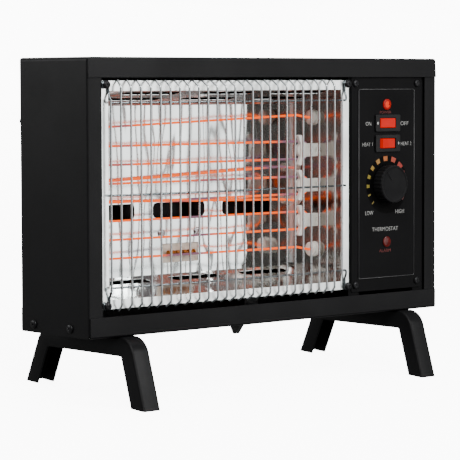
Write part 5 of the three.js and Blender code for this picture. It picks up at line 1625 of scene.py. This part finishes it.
    def lamp(self, node: str, z: float, finishes: tuple[Finish, ...], slot: str) -> None:
        """Turn a lamp's lens: a rim, and a dome rim + rise sqrt(1 - (r/R)^2) high.

        Shallow flutes, depth |cos(n a)| sin(pi r/R)^2, sink the dome.

        Args:
            node: the CAD node that it stands for.
            z: its height on the panel.
            finishes: its lens, and its rim where that differs.
            slot: the record's slot for it.
        """
        share = np.sin(np.linspace(0, np.pi / 2, 16))
        radius, rim, (stem, deep) = self.lamp_radius, self.lamp_rim, self.lamp_stem
        height = rim + (self.lamp_rise - rim) * np.sqrt(1 - share ** 2)
        profile = np.concatenate([np.stack([radius * share, height], axis=1),
                                  [(radius, 0), (stem, 0), (stem, -deep), (0, -deep)]])
        local = turned(profile, self.lamp_sides)
        wave = np.cos(self.lamp_flutes * once_round(self.lamp_sides))
        band = np.sin(np.pi * np.clip(profile[:, :1] / radius, 0, 1)) ** 2
        flute = self.lamp_flute * wave[None] * band
        local[..., 2] -= np.where(profile[:, 1:] > rim, np.abs(flute), 0)
        place = (self.knob_place[0], 0, z)
        mesh = self.kit.add(f"{node}_lens", Skin().stand(Facing.FRONT, place, local),
                            finishes[0], slot, [node], sharp=FINE_TURN).data
        for rim_finish in finishes[1:]:
            mesh.materials.append(rim_finish.material())
            for face in mesh.polygons:
                across, _, up = LEAN.lift([tuple(face.center)])[0] - place
                face.material_index = int(math.hypot(across, up) > self.lamp_core * radius)


@dataclass
class TipSwitch:
    """The free plate that hangs through the pan and opens the circuit when the heater tips."""

    kit: Kit
    edge: float = 0.5

    def build(self) -> None:
        """Dress the housing and the plate."""
        self.kit.dress("tip_switch_housing", MOULDED_BLACK)
        self.kit.edged("tip_pendulum", MOULDED_BLACK, "moulded_black", self.edge, "tip_weight", 3)


# The room

@dataclass(frozen=True)
class Softbox:
    """A soft rectangular light: its place, its width and height in metres, and its radiance."""

    name: str
    place: tuple[float, float, float]
    size: tuple[float, float]
    radiance: float


@dataclass
class Studio:
    """A pale floor and backdrop, soft light and the camera at the photograph's place.

    The eye is in the cabinet's frame; the lights and the room are in metres in the row frame. The
    room's light changes from ground_light to sky over the horizon, and the paper's own light
    changes from the first to the second of paper_light over the distances of its fade.
    """

    eye: tuple[float, float, float] = (-1486.39, -1655.44, 236.27)
    yaw: float = -0.71247
    pitch: float = 0.06511
    roll: float = -0.00304
    lens: float = 177.484
    sensor: float = 36
    clip: tuple[float, float] = (0.05, 100)
    floor: float = 24.0
    dome: float = 0.98
    sides: int = 96
    paper_light: tuple[float, float] = (9.0, 11.0)
    fade: tuple[float, float] = (0.3, 6.0)
    sky: float = 0.19
    ground_light: float = 0.26
    horizon: float = 0.12
    target: tuple[float, float, float] = (0.0, 0.0, 0.15)
    boxes: tuple[Softbox, ...] = (
        Softbox("right_softbox", (1.3, -2.1, 0.3), (1.44, 0.88), 3.1),
        Softbox("key", (-1.2, -2.0, 2.2), (1.8, 1.8), 10.0),
        Softbox("high_right", (1.3, -2.1, 1.45), (0.8, 0.5), 26.0),
        Softbox("left_rear", (-2.2, 2.4, 1.0), (1.8, 1.6), 3.5),
        Softbox("overhead", (0.2, 0.4, 2.8), (2.4, 2.4), 3.0),
        Softbox("rear", (1.6, 2.6, 1.5), (1.8, 1.6), 3.0),
    )

    def camera(self) -> None:
        """Set the camera up with the lean of the cabinet in its roll."""
        sy, cy = math.sin(self.yaw), math.cos(self.yaw)
        sp, cp = math.sin(self.pitch), math.cos(self.pitch)
        ahead = np.array([-sy * cp, cy * cp, -sp])
        level = np.array([cy, sy, 0.0])
        up = np.cross(level, ahead)
        right = level * math.cos(self.roll) + up * math.sin(self.roll)
        axes = LEAN.turn(np.stack([right, np.cross(right, ahead), -ahead]))
        data = bpy.data.cameras.new("camera")
        data.lens, data.sensor_width = self.lens, self.sensor
        data.clip_start, data.clip_end = self.clip
        camera = put("camera", data)
        aim(camera, axes, LEAN.place(self.eye).tolist())
        bpy.context.scene.camera = camera

    def light(self) -> None:
        """Hang the softboxes, each turned to the heater, and set the room's dim light.

        A light's power is its radiance times pi times its area.
        """
        for box in self.boxes:
            data = bpy.data.lights.new(box.name, "AREA")
            data.shape = "RECTANGLE"
            data.size, data.size_y = box.size
            data.energy = box.radiance * math.pi * box.size[0] * box.size[1]
            back = np.array(box.place) - np.array(self.target)
            back /= np.linalg.norm(back)
            right = np.cross((0, 0, 1), back)
            right /= np.linalg.norm(right)
            axes = np.stack([right, np.cross(back, right), back])
            aim(put(box.name, data), axes, box.place)
        world = bpy.data.worlds.new("dim_room")
        world.use_nodes = True
        tree = world.node_tree
        where = add_node(tree, "ShaderNodeTexCoord").outputs["Generated"]
        up = add_node(tree, "ShaderNodeSeparateXYZ", None, {"Vector": where}).outputs["Z"]
        level = add_node(tree, "ShaderNodeMapRange", None, {
            "Value": up, "From Min": -self.horizon, "From Max": self.horizon,
            "To Min": self.ground_light, "To Max": self.sky}).outputs["Result"]
        feed(tree, tree.nodes["Background"], {"Color": linear("ffffff"), "Strength": level})
        bpy.context.scene.world = world

    def ground(self) -> None:
        """Lay the pale floor and close it with a pale dome.

        Both shine, as white paper under its own lights does, and only the camera sees them, so
        the black paint isn't washed out. The floor's own light grows with distance until it meets
        the dome's.
        """
        angle = once_round(self.sides)
        ring = np.stack([self.floor * np.cos(angle), self.floor * np.sin(angle),
                         np.zeros(self.sides)], axis=1)
        rise = np.linspace(np.pi / 2, -np.pi / 2, 33)[:, None]
        reach = self.floor * self.dome
        shell = Skin().grid(np.stack([
            reach * np.cos(rise) * np.cos(angle), reach * np.cos(rise) * np.sin(angle),
            reach * np.sin(rise) * np.ones(self.sides)], axis=-1), around=True)
        near, far = self.paper_light
        for word, points, faces, name, colour, light in (
                ("floor", ring, [list(range(self.sides))], "pale_paper", "f2f2f1", near),
                ("dome", shell.points[0], shell.faces, "pale_backdrop", "000000", far)):
            mesh = bpy.data.meshes.new(word)
            mesh.from_pydata(points.tolist(), [], faces)
            made = bpy.data.materials.new(name)
            made.use_nodes = True
            made.cycles.emission_sampling = "NONE"
            tree = made.node_tree
            where = add_node(tree, "ShaderNodeTexCoord").outputs["Object"]
            away = add_node(tree, "ShaderNodeVectorMath", {"operation": "LENGTH"},
                            {0: where}).outputs["Value"]
            glow = add_node(tree, "ShaderNodeMapRange", {"interpolation_type": "SMOOTHSTEP"}, {
                "Value": away, "From Min": self.fade[0], "From Max": self.fade[1],
                "To Min": light, "To Max": far}).outputs["Result"]
            feed(tree, tree.nodes["Principled BSDF"], {
                "Base Color": linear(colour), "Roughness": 0.9, "Specular IOR Level": 0.0,
                "Emission Color": linear("ffffff"), "Emission Strength": glow})
            mesh.materials.append(made)
            piece = put(word, mesh)
            piece.visible_diffuse = piece.visible_glossy = piece.visible_transmission = False
            piece.visible_shadow = False


def main() -> None:
    """Load the frame, build the heater piece by piece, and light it."""
    logging.basicConfig(level=logging.INFO, format="%(name)s: %(message)s")
    kit = Kit(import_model())
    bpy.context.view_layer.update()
    for assembly in (Stand, Cabinet, Reflector, Heating, Guard, ControlColumn, TipSwitch):
        LOG.info("building %s", assembly.__name__)
        assembly(kit).build()
    studio = Studio()
    studio.ground()
    studio.light()
    studio.camera()


if __name__ == "__main__":
    main()
